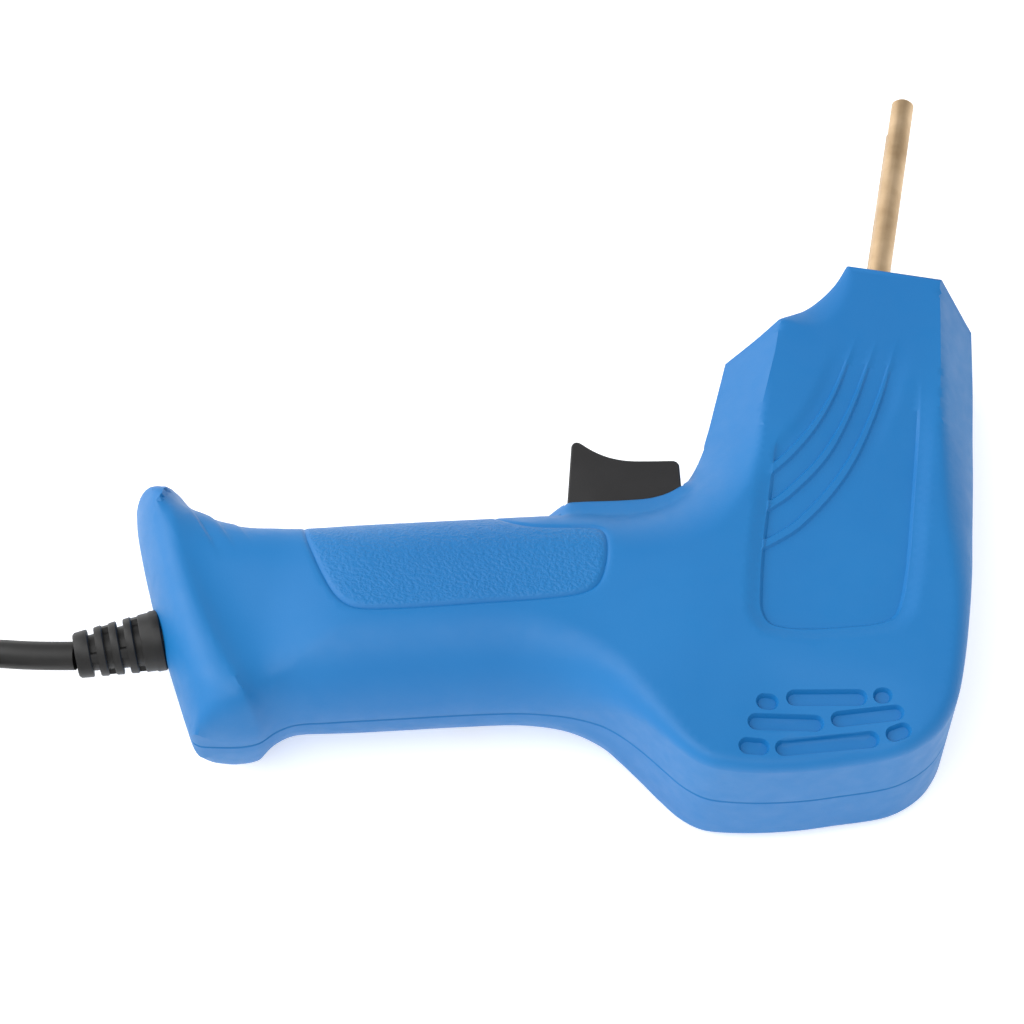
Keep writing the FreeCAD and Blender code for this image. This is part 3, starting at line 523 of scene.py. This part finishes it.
def shell_points():
    """Closed skin of the upper half: outside, seam lip, flat rim and inside."""
    polygon = outline()
    outer_xy, outer_faces = triangulate(polygon, crease_lines(), 1.15)
    loop = boundary_loop(outer_faces)
    outer_z = upper_height(outer_xy)
    points = [np.column_stack([outer_xy, outer_z])]
    faces = [outer_faces]
    count = len(outer_xy)

    def next_row(xy, z):
        nonlocal count
        points.append(np.column_stack([xy, np.broadcast_to(z, len(xy))]))
        count += len(xy)
        return np.arange(count - len(xy), count)

    def strip(a, b):
        c = np.roll(b, -1)
        d = np.roll(a, -1)
        faces.append(np.vstack([np.stack([a, b, c], 1), np.stack([a, c, d], 1)]))

    border = outer_xy[loop]
    seam_z = SPLIT_Z + SEAM_GAP
    previous = np.array(loop)
    wall = outer_z[loop] - (seam_z + SEAM_LIP)
    for share, step in ((1.0, -0.12), (0.5, 0.0), (0.0, 0.12)):
        z = seam_z + SEAM_LIP + wall * share + step * np.minimum(wall, 1.0)
        row = next_row(border, z)
        strip(previous, row)
        previous = row
    row = next_row(border, seam_z + SEAM_LIP)
    strip(previous, row)
    lip_xy = inset_loop(border, 0.22)
    lip = next_row(lip_xy, seam_z)
    strip(row, lip)
    inner_border = inset_polygon(polygon, WALL)
    inner_xy, inner_faces = triangulate(inner_border, [], 2.6)
    inner_loop = boundary_loop(inner_faces)
    inner_z = np.maximum(upper_height(inner_xy, WALL), seam_z + 0.6)
    first = count
    next_row(inner_xy, inner_z)
    faces.append(inner_faces[:, ::-1] + first)
    rim = next_row(inner_xy[inner_loop], seam_z)
    strip(rim, np.array(inner_loop) + first)
    faces.append(ring_between(np.vstack(points)[:, :2], lip, rim))
    return np.vstack(points), np.vstack(faces)


def inset_loop(loop, distance):
    """Each point of a closed anticlockwise loop moved inwards."""
    run = np.roll(loop, -1, axis=0) - np.roll(loop, 1, axis=0)
    run /= np.linalg.norm(run, axis=1)[:, None]
    return loop + distance * np.stack([-run[:, 1], run[:, 0]], 1)


def inset_polygon(polygon, distance):
    """Inner parallel of the polygon, without its crossed corners."""
    moved = inset_loop(polygon, distance)
    kept = closed_gap(polygon, moved) > distance * 0.93
    thinned = [moved[kept][0]]
    for point in moved[kept][1:]:
        if np.linalg.norm(point - thinned[-1]) > 0.9:
            thinned.append(point)
    return np.array(thinned)


def ring_between(xy, outer_row, inner_row):
    """Flat triangles between an outer and an inner loop of points."""
    rows = np.concatenate([outer_row, inner_row])
    edges = []
    for first, size in ((0, len(outer_row)), (len(outer_row), len(inner_row))):
        edges += [(first + k, first + (k + 1) % size) for k in range(size)]
    made = delaunay_2d_cdt([Vector(p) for p in xy[rows]], edges, [], 0, 1e-7, True)
    source = np.array([ids[0] for ids in made[3]])
    flat = np.array([v[:] for v in made[0]])
    tris = np.array([f[:] for f in made[2]])
    centres = flat[tris].mean(1)
    between = inside(xy[outer_row], centres) & ~inside(xy[inner_row], centres)
    return rows[source[tris[between]]][:, ::-1]


def carve(piece, cutters, operation="DIFFERENCE"):
    """Cuts the closed cutters out of the piece, or joins them to it."""
    for cutter in cutters:
        modifier = piece.modifiers.new("carve", "BOOLEAN")
        modifier.operation = operation
        modifier.solver = "MANIFOLD"
        modifier.object = cutter
    view = bpy.context.evaluated_depsgraph_get()
    carved = bpy.data.meshes.new_from_object(piece.evaluated_get(view))
    piece.modifiers.clear()
    piece.data = carved
    for cutter in cutters:
        bpy.data.objects.remove(cutter)
    return piece


def shade(piece, angle=32, flat_above=None):
    """Smooth shading with sharp edges above the angle; faces over flat_above mm2 are flat."""
    piece.data.shade_smooth()
    piece.data.set_sharp_from_angle(angle=math.radians(angle))
    for face in piece.data.polygons:
        if flat_above and face.area > flat_above * MM * MM:
            face.use_smooth = False
    return piece


# ---------------------------------------------------------------- cutters and simple solids
def trigger_point(along, out, z=SPLIT_Z):
    """Plan point in the trigger's own axes: along the grip and out of its finger side."""
    axis = np.array([math.cos(GRIP_SLOPE), math.sin(GRIP_SLOPE)])
    outward = np.array([-axis[1], axis[0]])
    x, y = TRIGGER_AT + along * axis + out * outward
    return (x, y, z)


def prism(name, plan, z0, z1, bevel):
    """Closed upright prism of the plan points, its edges rounded by bevel."""
    work = bmesh.new()
    bottom = [work.verts.new(place(x, y, z0)) for x, y in plan]
    face = work.faces.new(bottom)
    raised = bmesh.ops.extrude_face_region(work, geom=[face])
    top = [v for v in raised["geom"] if isinstance(v, bmesh.types.BMVert)]
    bmesh.ops.translate(work, verts=top, vec=Vector((0, 0, (z1 - z0) * MM)))
    bmesh.ops.recalc_face_normals(work, faces=work.faces[:])
    if bevel:
        sharp = [e for e in work.edges if e.calc_face_angle(0) > math.radians(30)]
        bmesh.ops.bevel(work, geom=sharp, offset=bevel * MM, segments=3, profile=0.5,
                        affect="EDGES", clamp_overlap=True)
    mesh = bpy.data.meshes.new(name)
    work.to_mesh(mesh)
    work.free()
    return new_object(name, mesh)


def trigger_block(name, a0, a1, o0, o1, half_z, bevel=0.0):
    """Box in the trigger's own axes, the same to both sides of the parting plane."""
    corners = [trigger_point(a, o)[:2] for a, o in ((a0, o0), (a1, o0), (a1, o1), (a0, o1))]
    return prism(name, corners, SPLIT_Z - half_z, SPLIT_Z + half_z, bevel)


def turned(name, start, axis, profile, sides=48, shape=None):
    """Closed solid of revolution: profile rows of distance along the axis and radius."""
    axis = Vector(axis).normalized()
    across = axis.orthogonal().normalized()
    up = axis.cross(across)
    points = []
    for s, r in profile:
        for k in range(sides):
            turn = 2 * math.pi * k / sides
            radius = shape(s, turn, r) if shape else r
            offset = across * (radius * math.cos(turn)) + up * (radius * math.sin(turn))
            points.append(place(*(Vector(start) + axis * s + offset)))
    faces = [list(range(sides))[::-1]]
    for row in range(len(profile) - 1):
        for k in range(sides):
            a = row * sides + k
            b = row * sides + (k + 1) % sides
            faces.append((a, b, b + sides, a + sides))
    faces.append([(len(profile) - 1) * sides + k for k in range(sides)])
    return mesh_object(name, points, faces)


def rod_cutter(radius, start, end):
    run = Vector(end) - Vector(start)
    return turned("cutter", start, run, [(0, radius), (run.length, radius)])


# ---------------------------------------------------------------- materials
def socket(shader, name, value):
    shader.inputs[name].default_value = value


def new_material(name, color, roughness, metallic=0.0):
    """A Principled material and the handles that its detail needs."""
    material = bpy.data.materials.new(name)
    material.use_nodes = True
    nodes = material.node_tree.nodes
    shader = nodes["Principled BSDF"]
    socket(shader, "Base Color", (*color, 1))
    socket(shader, "Roughness", roughness)
    socket(shader, "Metallic", metallic)
    return material, nodes, material.node_tree.links, shader


def object_noise(nodes, links, scale, detail, stretch=(1, 1, 1)):
    """Output of a noise texture on object coordinates, in features per metre."""
    where = nodes.new("ShaderNodeTexCoord")
    mapping = nodes.new("ShaderNodeMapping")
    socket(mapping, "Scale", stretch)
    texture = nodes.new("ShaderNodeTexNoise")
    socket(texture, "Scale", scale)
    socket(texture, "Detail", detail)
    links.new(where.outputs["Object"], mapping.inputs["Vector"])
    links.new(mapping.outputs["Vector"], texture.inputs["Vector"])
    return texture.outputs["Fac"]


def spread_out(nodes, links, source, from_low, from_high, low=0.0, high=1.0):
    """Output that runs from low to high while the source runs between its two limits."""
    spread = nodes.new("ShaderNodeMapRange")
    socket(spread, "From Min", from_low)
    socket(spread, "From Max", from_high)
    socket(spread, "To Min", low)
    socket(spread, "To Max", high)
    links.new(source, spread.inputs["Value"])
    return spread.outputs["Result"]


def vary_color(nodes, links, shader, source, low, high):
    """Base colour that drifts between two colours with the source texture."""
    mix = nodes.new("ShaderNodeMix")
    mix.data_type = "RGBA"
    mix.inputs["A"].default_value = (*low, 1)
    mix.inputs["B"].default_value = (*high, 1)
    links.new(spread_out(nodes, links, source, 0.35, 0.65), mix.inputs["Factor"])
    links.new(mix.outputs["Result"], shader.inputs["Base Color"])


def vary_roughness(nodes, links, shader, source, low, high):
    """Roughness that drifts between two values with the source texture."""
    links.new(spread_out(nodes, links, source, 0.3, 0.7, low, high), shader.inputs["Roughness"])


def add_bump(nodes, links, shader, source, height, strength, before=None):
    """Relief of the source texture, its height in metres, on top of an earlier bump."""
    bump = nodes.new("ShaderNodeBump")
    socket(bump, "Strength", strength)
    socket(bump, "Distance", height)
    links.new(source, bump.inputs["Height"])
    if before:
        links.new(before.outputs["Normal"], bump.inputs["Normal"])
    links.new(bump.outputs["Normal"], shader.inputs["Normal"])
    return bump


def housing_material():
    """Blue moulded plastic: fine spark texture, and leather grain where "pad" is 1."""
    material, nodes, links, shader = new_material("housing_plastic", (0.002, 0.153, 0.43), 0.5)
    socket(shader, "Specular IOR Level", 0.45)
    drift = object_noise(nodes, links, 22.0, 3.0)
    vary_color(nodes, links, shader, drift, (0.0015, 0.147, 0.42), (0.0025, 0.161, 0.445))
    scuffs = object_noise(nodes, links, 260.0, 4.0)
    vary_roughness(nodes, links, shader, scuffs, 0.46, 0.56)
    spark = object_noise(nodes, links, 2600.0, 2.0)
    fine = add_bump(nodes, links, shader, spark, 0.00003, 0.5)
    mask = nodes.new("ShaderNodeAttribute")
    mask.attribute_name = "pad"
    warp = object_noise(nodes, links, 1300.0, 2.0, stretch=(0.9, 1.1, 1.0))
    leather = nodes.new("ShaderNodeMath")
    leather.operation = "MULTIPLY"
    links.new(spread_out(nodes, links, warp, 0.38, 0.62), leather.inputs[0])
    links.new(mask.outputs["Fac"], leather.inputs[1])
    add_bump(nodes, links, shader, leather.outputs["Value"], 0.00016, 0.7, before=fine)
    return material


def black_plastic():
    """Black moulded plastic with a fine spark texture."""
    color = (0.010, 0.0095, 0.0102)
    material, nodes, links, shader = new_material("black_plastic", color, 0.5)
    cloud = object_noise(nodes, links, 60.0, 4.0)
    vary_color(nodes, links, shader, cloud, (0.0085, 0.0082, 0.0088), (0.013, 0.0125, 0.0133))
    vary_roughness(nodes, links, shader, cloud, 0.42, 0.55)
    spark = object_noise(nodes, links, 2200.0, 2.0)
    add_bump(nodes, links, shader, spark, 0.00004, 0.6)
    return material


def cord_rubber():
    """Flexible black sheath with a little dust."""
    material, nodes, links, shader = new_material("cord_rubber", (0.008, 0.008, 0.0083), 0.46)
    socket(shader, "Specular IOR Level", 0.36)
    dust = object_noise(nodes, links, 140.0, 5.0)
    vary_color(nodes, links, shader, dust, (0.006, 0.006, 0.0063), (0.012, 0.0118, 0.0115))
    vary_roughness(nodes, links, shader, dust, 0.4, 0.56)
    grain = object_noise(nodes, links, 1500.0, 2.0)
    add_bump(nodes, links, shader, grain, 0.00004, 0.45)
    return material


def drawn_metal(name, dark, light, rough, stretch):
    """Metal with fine lines along one axis, cloudy tarnish and uneven gloss."""
    material, nodes, links, shader = new_material(name, light, rough, metallic=1.0)
    clouds = object_noise(nodes, links, 110.0, 5.0)
    vary_color(nodes, links, shader, clouds, dark, light)
    lines = object_noise(nodes, links, 420.0, 3.0, stretch=stretch)
    vary_roughness(nodes, links, shader, lines, rough - 0.07, rough + 0.1)
    add_bump(nodes, links, shader, lines, 0.00004, 0.5)
    return material


def grained(name, color, dark, light, rough, noise, height, strength, metallic=0.0):
    """Material whose colour and relief both follow one noise: its scale, detail and stretch."""
    material, nodes, links, shader = new_material(name, color, rough, metallic)
    grain = object_noise(nodes, links, *noise)
    vary_color(nodes, links, shader, grain, dark, light)
    add_bump(nodes, links, shader, grain, height, strength)
    return material


def insulation(name, dark, light):
    """Coloured sheath of a single wire."""
    return grained(name, light, dark, light, 0.4, (160.0, 3.0), 0.00003, 0.3)


MATERIALS = {
    "housing": housing_material(),
    "black_plastic": black_plastic(),
    "cord_rubber": cord_rubber(),
    "brass": drawn_metal("brass", (0.42, 0.29, 0.165), (0.62, 0.46, 0.29), 0.46, (1.0, 0.06, 1.0)),
    "nickel": drawn_metal("nickel", (0.62, 0.60, 0.56), (0.78, 0.76, 0.72), 0.2, (0.05, 1.0, 1.0)),
    "screw_steel": drawn_metal("screw_steel", (0.48, 0.49, 0.5), (0.66, 0.67, 0.68), 0.32,
                               (1.0, 1.0, 1.0)),
    # Enamelled wire side by side: fine ribs along the body's length
    "copper": grained("copper_winding", (0.52, 0.17, 0.06), (0.36, 0.1, 0.035), (0.62, 0.24, 0.09),
                      0.3, (1400.0, 1.0, (0.02, 1.0, 0.02)), 0.00015, 0.9, metallic=1.0),
    # Thin sheets: lines every half millimetre across the stack
    "core_steel": grained("laminated_steel", (0.3, 0.31, 0.33), (0.16, 0.165, 0.18),
                          (0.4, 0.41, 0.43), 0.42, (2000.0, 1.0, (0.02, 0.02, 1.0)), 0.0001, 0.8,
                          metallic=1.0),
    "phenolic": grained("phenolic", (0.085, 0.045, 0.028), (0.06, 0.03, 0.018),
                        (0.12, 0.065, 0.04), 0.38, (900.0, 4.0), 0.00003, 0.3),
    "wire_brown": insulation("wire_brown", (0.07, 0.028, 0.012), (0.12, 0.05, 0.022)),
    "wire_blue": insulation("wire_blue", (0.02, 0.09, 0.36), (0.035, 0.15, 0.5)),
}


def dress(piece, slot_name, body="housing"):
    """Gives a new piece the material of its record slot, and its body."""
    piece.data.materials.clear()
    piece.data.materials.append(MATERIALS[slot_name])
    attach(piece, body)
    return piece


def dress_cad_nodes():
    """Gives every CAD node the material of its slot in the record."""
    slots = {p["node"]: p["material_slot"] for p in frame["record"]["subparts"]}
    for node, piece in frame["nodes"].items():
        piece.data.materials.clear()
        piece.data.materials.append(MATERIALS[slots[node]])


# ---------------------------------------------------------------- pieces
def housing_half(name, points, faces, upper):
    """One half of the housing: the skin, or its mirror image, with all openings cut."""
    if not upper:
        points = points * [1, 1, -1] + [0, 0, 2 * SPLIT_Z]
        faces = faces[:, ::-1]
    piece = mesh_object(name, [place(*p) for p in points], faces)
    trigger_opening = trigger_block("cutter", -9.4, 16.3, -16.0, 20.0, TRIGGER_HALF_W + 0.4)
    room_for_lips = trigger_block("cutter", -12.3, 18.7, -24.6, -6.0, 5.2)
    cord_opening = rod_cutter(5.4, RELIEF_AT - RELIEF_DIR * 14, RELIEF_AT + RELIEF_DIR * 8)
    cutters = [trigger_opening, room_for_lips, cord_opening]
    cutters += [rod_cutter(ROD_R + 0.25, (ROD_X, 50, z), (ROD_X, 70, z)) for z in ROD_ZS]
    if not upper:
        for x, y in SCREW_XY:
            cutters.append(rod_cutter(COUNTERBORE_R, (x, y, -2.0), (x, y, 9.0)))
    carve(piece, cutters)
    mark_pad(piece)
    shade(piece, 28)
    return piece


def mark_pad(piece):
    """Point attribute that is 1 inside the grip pad's groove."""
    count = len(piece.data.vertices)
    co = np.empty(count * 3)
    piece.data.vertices.foreach_get("co", co)
    xy = co.reshape(-1, 3)[:, :2] / MM + PLAN_ORIGIN
    pad = np.where(inside(np.vstack([PAD, [(-4.0, 6.0), (-44.0, 0.0)]]), xy), 1.0, 0.0)
    pad *= ramp(np.abs(measure(PAD, xy)[0]), 0.5, 1.1)
    attribute = piece.data.attributes.new("pad", "FLOAT", "POINT")
    attribute.data.foreach_set("value", pad.astype(np.float32))


def screw_columns():
    """Columns from the lower skin to the parting plane, whose wells the screw heads sit in."""
    points = []
    faces = []
    sides = 40
    well_r = COUNTERBORE_R - 0.01
    top = SPLIT_Z - 0.2
    for x, y in SCREW_XY:
        ring = [(x + SCREW_COLUMN_R * math.cos(t), y + SCREW_COLUMN_R * math.sin(t))
                for t in np.linspace(0, 2 * math.pi, 24)]
        skin = 2 * SPLIT_Z - upper_height(np.array(ring))
        start = float(skin.max()) + 0.4
        profile = [(start, SCREW_COLUMN_R), (top, SCREW_COLUMN_R), (top, SCREW_SHAFT_R),
                   (SCREW_SEAT_Z, SCREW_SHAFT_R), (SCREW_SEAT_Z, well_r), (start, well_r)]
        first = len(points)
        for z, r in profile:
            turns = [2 * math.pi * k / sides for k in range(sides)]
            points += [place(x + r * math.cos(t), y + r * math.sin(t), z) for t in turns]
        for row in range(len(profile)):
            below = first + row * sides
            above = first + (row + 1) % len(profile) * sides
            for k in range(sides):
                m = (k + 1) % sides
                faces.append((below + k, below + m, above + m, above + k))
    return shade(mesh_object("screw_columns", points, faces))


def make_housing():
    """Both halves of the housing and the columns in the lower one."""
    points, faces = shell_points()
    upper = housing_half("housing_upper_shell", points, faces, True)
    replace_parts(dress(upper, "housing"), "housing_upper")
    lower = housing_half("housing_lower_shell", points, faces, False)
    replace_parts(dress(lower, "housing"), "housing_lower")
    dress(screw_columns(), "housing")


def make_trigger():
    """Trigger with rounded edges and a hollowed face, its retaining lips, stem and post."""
    plan = [(-8.75, -8.6), (15.7, -8.6), (15.7, 7.0), (15.3, 7.8), (14.6, 8.15)]
    hollow = smooth_line([(14.0, 8.2), (9.6, 8.35), (4.8, 8.7), (1.0, 9.7), (-2.2, 11.4),
                          (-5.0, 13.6)], 0.8)
    plan += [tuple(p) for p in hollow]
    plan += [(-5.6, 13.85), (-6.3, 13.75), (-6.9, 13.1), (-8.75, -2.0)]
    corners = [trigger_point(a, o)[:2] for a, o in plan]
    body = prism("trigger_lever", corners, SPLIT_Z - TRIGGER_HALF_W, SPLIT_Z + TRIGGER_HALF_W,
                 0.55)
    extras = [trigger_block("lip", -11.6, -8.0, -8.6, -6.4, 4.5, 0.2),
              trigger_block("lip", 15.0, 18.0, -8.6, -6.4, 4.5, 0.2),
              trigger_block("stem", 7.0, 11.0, -17.0, -8.0, 3.0, 0.2),
              rod_cutter(2.2, trigger_point(-2.0, -12.0), trigger_point(-2.0, -8.0))]
    carve(body, extras, "UNION")
    shade(body, 35, flat_above=60)
    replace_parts(dress(body, "black_plastic", "trigger"), "trigger")


def make_relief():
    """Moulded sleeve with four slotted ribs and an end rim, round the cord."""
    base_r = 6.25
    tip_r = 4.75
    taper_from = 2.4
    sides = 72

    def radius_at(s):
        share = max(0.0, s - taper_from) / (RELIEF_LEN - taper_from)
        return base_r + (tip_r - base_r) * share

    def slotted(s, turn, r):
        """Radius at one point: the slots stop at two bridges, which turn from row to row."""
        k = math.floor((s - RELIEF_SLOT_START + 0.001) / RELIEF_SLOT_PITCH)
        into_slot = s - RELIEF_SLOT_START - k * RELIEF_SLOT_PITCH
        within = 0 <= k < RELIEF_SLOTS and -0.001 <= into_slot <= RELIEF_SLOT_LEN + 0.001
        if not within or r > radius_at(s) - 0.3:
            return r
        bridge = abs(math.sin(turn + (math.pi / 2 if k % 2 else 0.0)))
        return r if bridge > 0.2 else radius_at(s) - 0.25

    profile = [(-5.0, 3.4), (-5.0, 6.9), (-3.0, 6.9), (-3.0, 4.9), (0.15, 4.9), (0.15, 6.1),
               (0.4, 6.4), (2.0, 6.4), (2.4, 6.15)]
    for k in range(RELIEF_SLOTS):
        start = RELIEF_SLOT_START + k * RELIEF_SLOT_PITCH
        end = start + RELIEF_SLOT_LEN
        profile += [(start - 0.25, radius_at(start)), (start, radius_at(start) - 0.22),
                    (start, radius_at(start) - 1.3), (end, radius_at(end) - 1.3),
                    (end, radius_at(end) - 0.22), (end + 0.25, radius_at(end))]
    end_r = radius_at(RELIEF_LEN)
    profile += [(RELIEF_LEN - 0.5, end_r + 0.03), (RELIEF_LEN, end_r - 0.45), (RELIEF_LEN, 3.15),
                (RELIEF_LEN - 1.2, RELIEF_BORE_R), (-5.0, RELIEF_BORE_R)]
    sleeve = turned("strain_relief_sleeve", RELIEF_AT, RELIEF_DIR, profile, sides, slotted)
    close_ring(sleeve, len(profile), sides)
    shade(sleeve, 40)
    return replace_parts(dress(sleeve, "cord_rubber"), "strain_relief")


def close_ring(piece, rows, sides):
    """Joins the last row of a turned solid to its first, in place of its two caps."""
    work = bmesh.new()
    work.from_mesh(piece.data)
    caps = [f for f in work.faces if len(f.verts) == sides]
    bmesh.ops.delete(work, geom=caps, context="FACES_ONLY")
    work.verts.ensure_lookup_table()
    last = (rows - 1) * sides
    for k in range(sides):
        m = (k + 1) % sides
        work.faces.new([work.verts[i] for i in (last + k, last + m, m, k)])
    bmesh.ops.recalc_face_normals(work, faces=work.faces[:])
    work.to_mesh(piece.data)
    work.free()


def coil_points():
    """Centreline of the stored cord: three turns in, a climb, and three turns out on top."""
    per_turn = 14
    turns = 3
    span = COIL_OUTER - COIL_INNER
    points = []
    for k in range(1, turns * per_turn + 1):
        share = k / (turns * per_turn)
        points.append((90 + 360 * turns * share, COIL_OUTER - span * share, CORD_D / 2))
    half = per_turn // 2
    for k in range(1, half):
        rise = float(ramp(np.array(k / half), 0, 1))
        angle = 90 + 360 * turns + 180 * k / half
        points.append((angle, COIL_INNER, CORD_D / 2 + CORD_D * rise))
    for k in range(turns * per_turn + 1):
        share = k / (turns * per_turn)
        angle = 270 + 360 * turns * (1 + share)
        points.append((angle, COIL_INNER + span * share, 1.5 * CORD_D))
    made = []
    for angle, radius, z in points:
        turn = math.radians(angle)
        made.append((COIL_AT[0] + radius * math.cos(turn), COIL_AT[1] + radius * math.sin(turn), z))
    return made


def make_cord(relief):
    """The lead from the sleeve to the plug, with what it carries."""
    start = RELIEF_AT + RELIEF_DIR * (RELIEF_LEN + 0.05)
    lead = [tuple(start), (-91.6, -51.0, 17.7), (-102.0, -50.7, 15.2), (-112.5, -50.7, 9.8),
            (-122.5, -51.6, 5.6), (-133.0, -53.8, 3.5), (COIL_AT[0], COIL_AT[1] + COIL_OUTER, 3.0)]
    tail = [(-129.0, -140.4, 8.2), (-113.0, -141.3, 6.6), (PLUG_X, PLUG_Y, PLUG_HALF_THICK)]
    route = lead + coil_points() + tail
    curve = bpy.data.curves.new("mains_lead", "CURVE")
    curve.dimensions = "3D"
    spline = curve.splines.new("NURBS")
    spline.points.add(len(route) - 1)
    for point, at in zip(spline.points, route):
        point.co = (*place(*at), 1)
    spline.order_u = 3
    spline.use_endpoint_u = True
    spline.resolution_u = 8
    curve.bevel_depth = CORD_D / 2 * MM
    curve.bevel_resolution = 6
    curve.use_fill_caps = True
    piece = new_object("mains_lead", curve)
    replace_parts(dress(piece, "cord_rubber"), "cord_lead", "cord_coil", "cord_tail")
    plug = make_plug()
    tie = make_tie()


def make_plug():
    """Flat two-pin plug: oval grip with finger ribs that widens to the pin face."""
    sections = [(0.05, 3.7, 3.7), (2.0, 4.4, 4.4), (3.4, 4.7, 4.7), (4.2, 4.2, 4.2), (6.0, 4.8, 4.8),
                (7.4, 5.0, 5.0), (8.2, 4.6, 4.6), (10.0, 5.4, 5.3), (14.0, 7.4, 6.2), (18.0, 9.6, 6.8),
                (20.5, 10.6, 6.85), (21.0, 10.0, 6.2), (22.4, 10.2, 6.2), (22.9, 11.4, 6.85),
                (24.2, 11.7, 6.85), (24.7, 11.0, 6.2), (26.1, 11.2, 6.2), (26.6, 12.2, 6.85),
                (30.0, 12.9, 6.88), (38.6, 12.95, 6.88), (39.6, 12.5, 6.4), (40.05, 11.6, 5.6)]
    sides = 64
    points = []
    for s, half_w, half_t in sections:
        square = 2.0 + 1.6 * min(1.0, s / 18.0)
        for k in range(sides):
            turn = 2 * math.pi * k / sides
            c, n = math.cos(turn), math.sin(turn)
            y = PLUG_Y + half_w * math.copysign(abs(c) ** (2 / square), c)
            z = PLUG_HALF_THICK + half_t * math.copysign(abs(n) ** (2 / square), n)
            points.append(place(PLUG_X + s, y, z))
    faces = [list(range(sides))]
    for row in range(len(sections) - 1):
        for k in range(sides):
            a = row * sides + k
            b = row * sides + (k + 1) % sides
            faces.append((a, a + sides, b + sides, b))
    faces.append([(len(sections) - 1) * sides + k for k in range(sides)][::-1])
    piece = mesh_object("mains_plug", points, faces)
    face_outwards(piece)
    shade(piece, 50)
    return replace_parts(dress(piece, "cord_rubber"), "plug_body")


def face_outwards(piece):
    """Turns all faces of a closed piece outwards."""
    work = bmesh.new()
    work.from_mesh(piece.data)
    bmesh.ops.recalc_face_normals(work, faces=work.faces[:])
    work.to_mesh(piece.data)
    work.free()


def make_tie():
    """Nylon strap round the coil, with its lock."""
    x, y = COIL_AT
    half_w = 1.9
    inner = COIL_INNER - CORD_D / 2
    outer = COIL_OUTER + CORD_D / 2
    height = 2 * CORD_D
    strap = [(outer + 1.5, 0.02), (outer + 1.5, height + 0.8), (outer + 0.9, height + 1.35),
             (inner - 0.9, height + 1.35), (inner - 1.5, height + 0.8), (inner - 1.5, 0.02),
             (inner - 0.35, 0.02), (inner - 0.35, height + 0.25), (outer + 0.35, height + 0.25),
             (outer + 0.35, 0.02)]
    points = []
    for side in (-half_w, half_w):
        points += [place(x - r, y + side, z) for r, z in strap]
    count = len(strap)
    faces = [(k, (k + 1) % count, count + (k + 1) % count, count + k) for k in range(count)]
    faces += [list(range(count))[::-1], list(range(count, 2 * count))]
    piece = mesh_object("coil_tie", points, faces)
    face_outwards(piece)
    lock_x = x - inner - 7.0
    corners = [(lock_x - 3, y - 3), (lock_x + 3, y - 3), (lock_x + 3, y + 3), (lock_x - 3, y + 3)]
    lock = prism("lock", corners, height + 0.9, height + 3.9, 0.5)
    carve(piece, [lock], "UNION")
    shade(piece, 35)
    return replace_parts(dress(piece, "black_plastic"), "cable_tie")


# ---------------------------------------------------------------- stage
def make_stage():
    """White floor, white surroundings and two large lights."""
    bpy.ops.mesh.primitive_plane_add(size=12)
    floor = bpy.context.object
    floor.name = "floor"
    material, _, _, shader = new_material("floor", (0.9, 0.9, 0.9), 0.85)
    socket(shader, "Specular IOR Level", 0.1)
    socket(shader, "Emission Color", (1, 1, 1, 1))
    socket(shader, "Emission Strength", 0.45)
    floor.data.materials.append(material)
    scene = bpy.context.scene
    scene.view_settings.view_transform = "Standard"
    scene.world = studio_world()
    for name, at, size, energy in LIGHTS:
        light = bpy.data.lights.new(name, "AREA")
        light.shape = "SQUARE"
        light.size = size
        light.energy = energy
        lamp = new_object(name, light)
        lamp.location = at
        lamp.rotation_mode = "QUATERNION"
        lamp.rotation_quaternion = (-Vector(at)).to_track_quat("-Z", "Y")


def studio_world():
    """White sweep all round that darkens towards the ceiling."""
    world = bpy.data.worlds.new("studio")
    world.use_nodes = True
    nodes = world.node_tree.nodes
    links = world.node_tree.links
    where = nodes.new("ShaderNodeTexCoord")
    split = nodes.new("ShaderNodeSeparateXYZ")
    links.new(where.outputs["Generated"], split.inputs["Vector"])
    fade = spread_out(nodes, links, split.outputs["Z"], 0.1, 0.9, 1.15, 0.35)
    background = nodes["Background"]
    socket(background, "Color", (1, 1, 1, 1))
    links.new(fade, background.inputs["Strength"])
    return world


def make_camera():
    """Camera that looks at the plan's origin on the parting plane."""
    lens = bpy.data.cameras.new("camera")
    lens.sensor_width = 36.0
    lens.lens = CAMERA_LENS
    lens.clip_start = 0.05
    lens.clip_end = 50.0
    camera = new_object("camera", lens)
    camera.location = place(*CAMERA_AT)
    target = place(0.0, 0.0, SPLIT_Z)
    camera.rotation_mode = "QUATERNION"
    camera.rotation_quaternion = (target - camera.location).to_track_quat("-Z", "Y")
    bpy.context.scene.camera = camera


make_camera()
make_stage()
dress_cad_nodes()
make_housing()
make_trigger()
make_cord(make_relief())
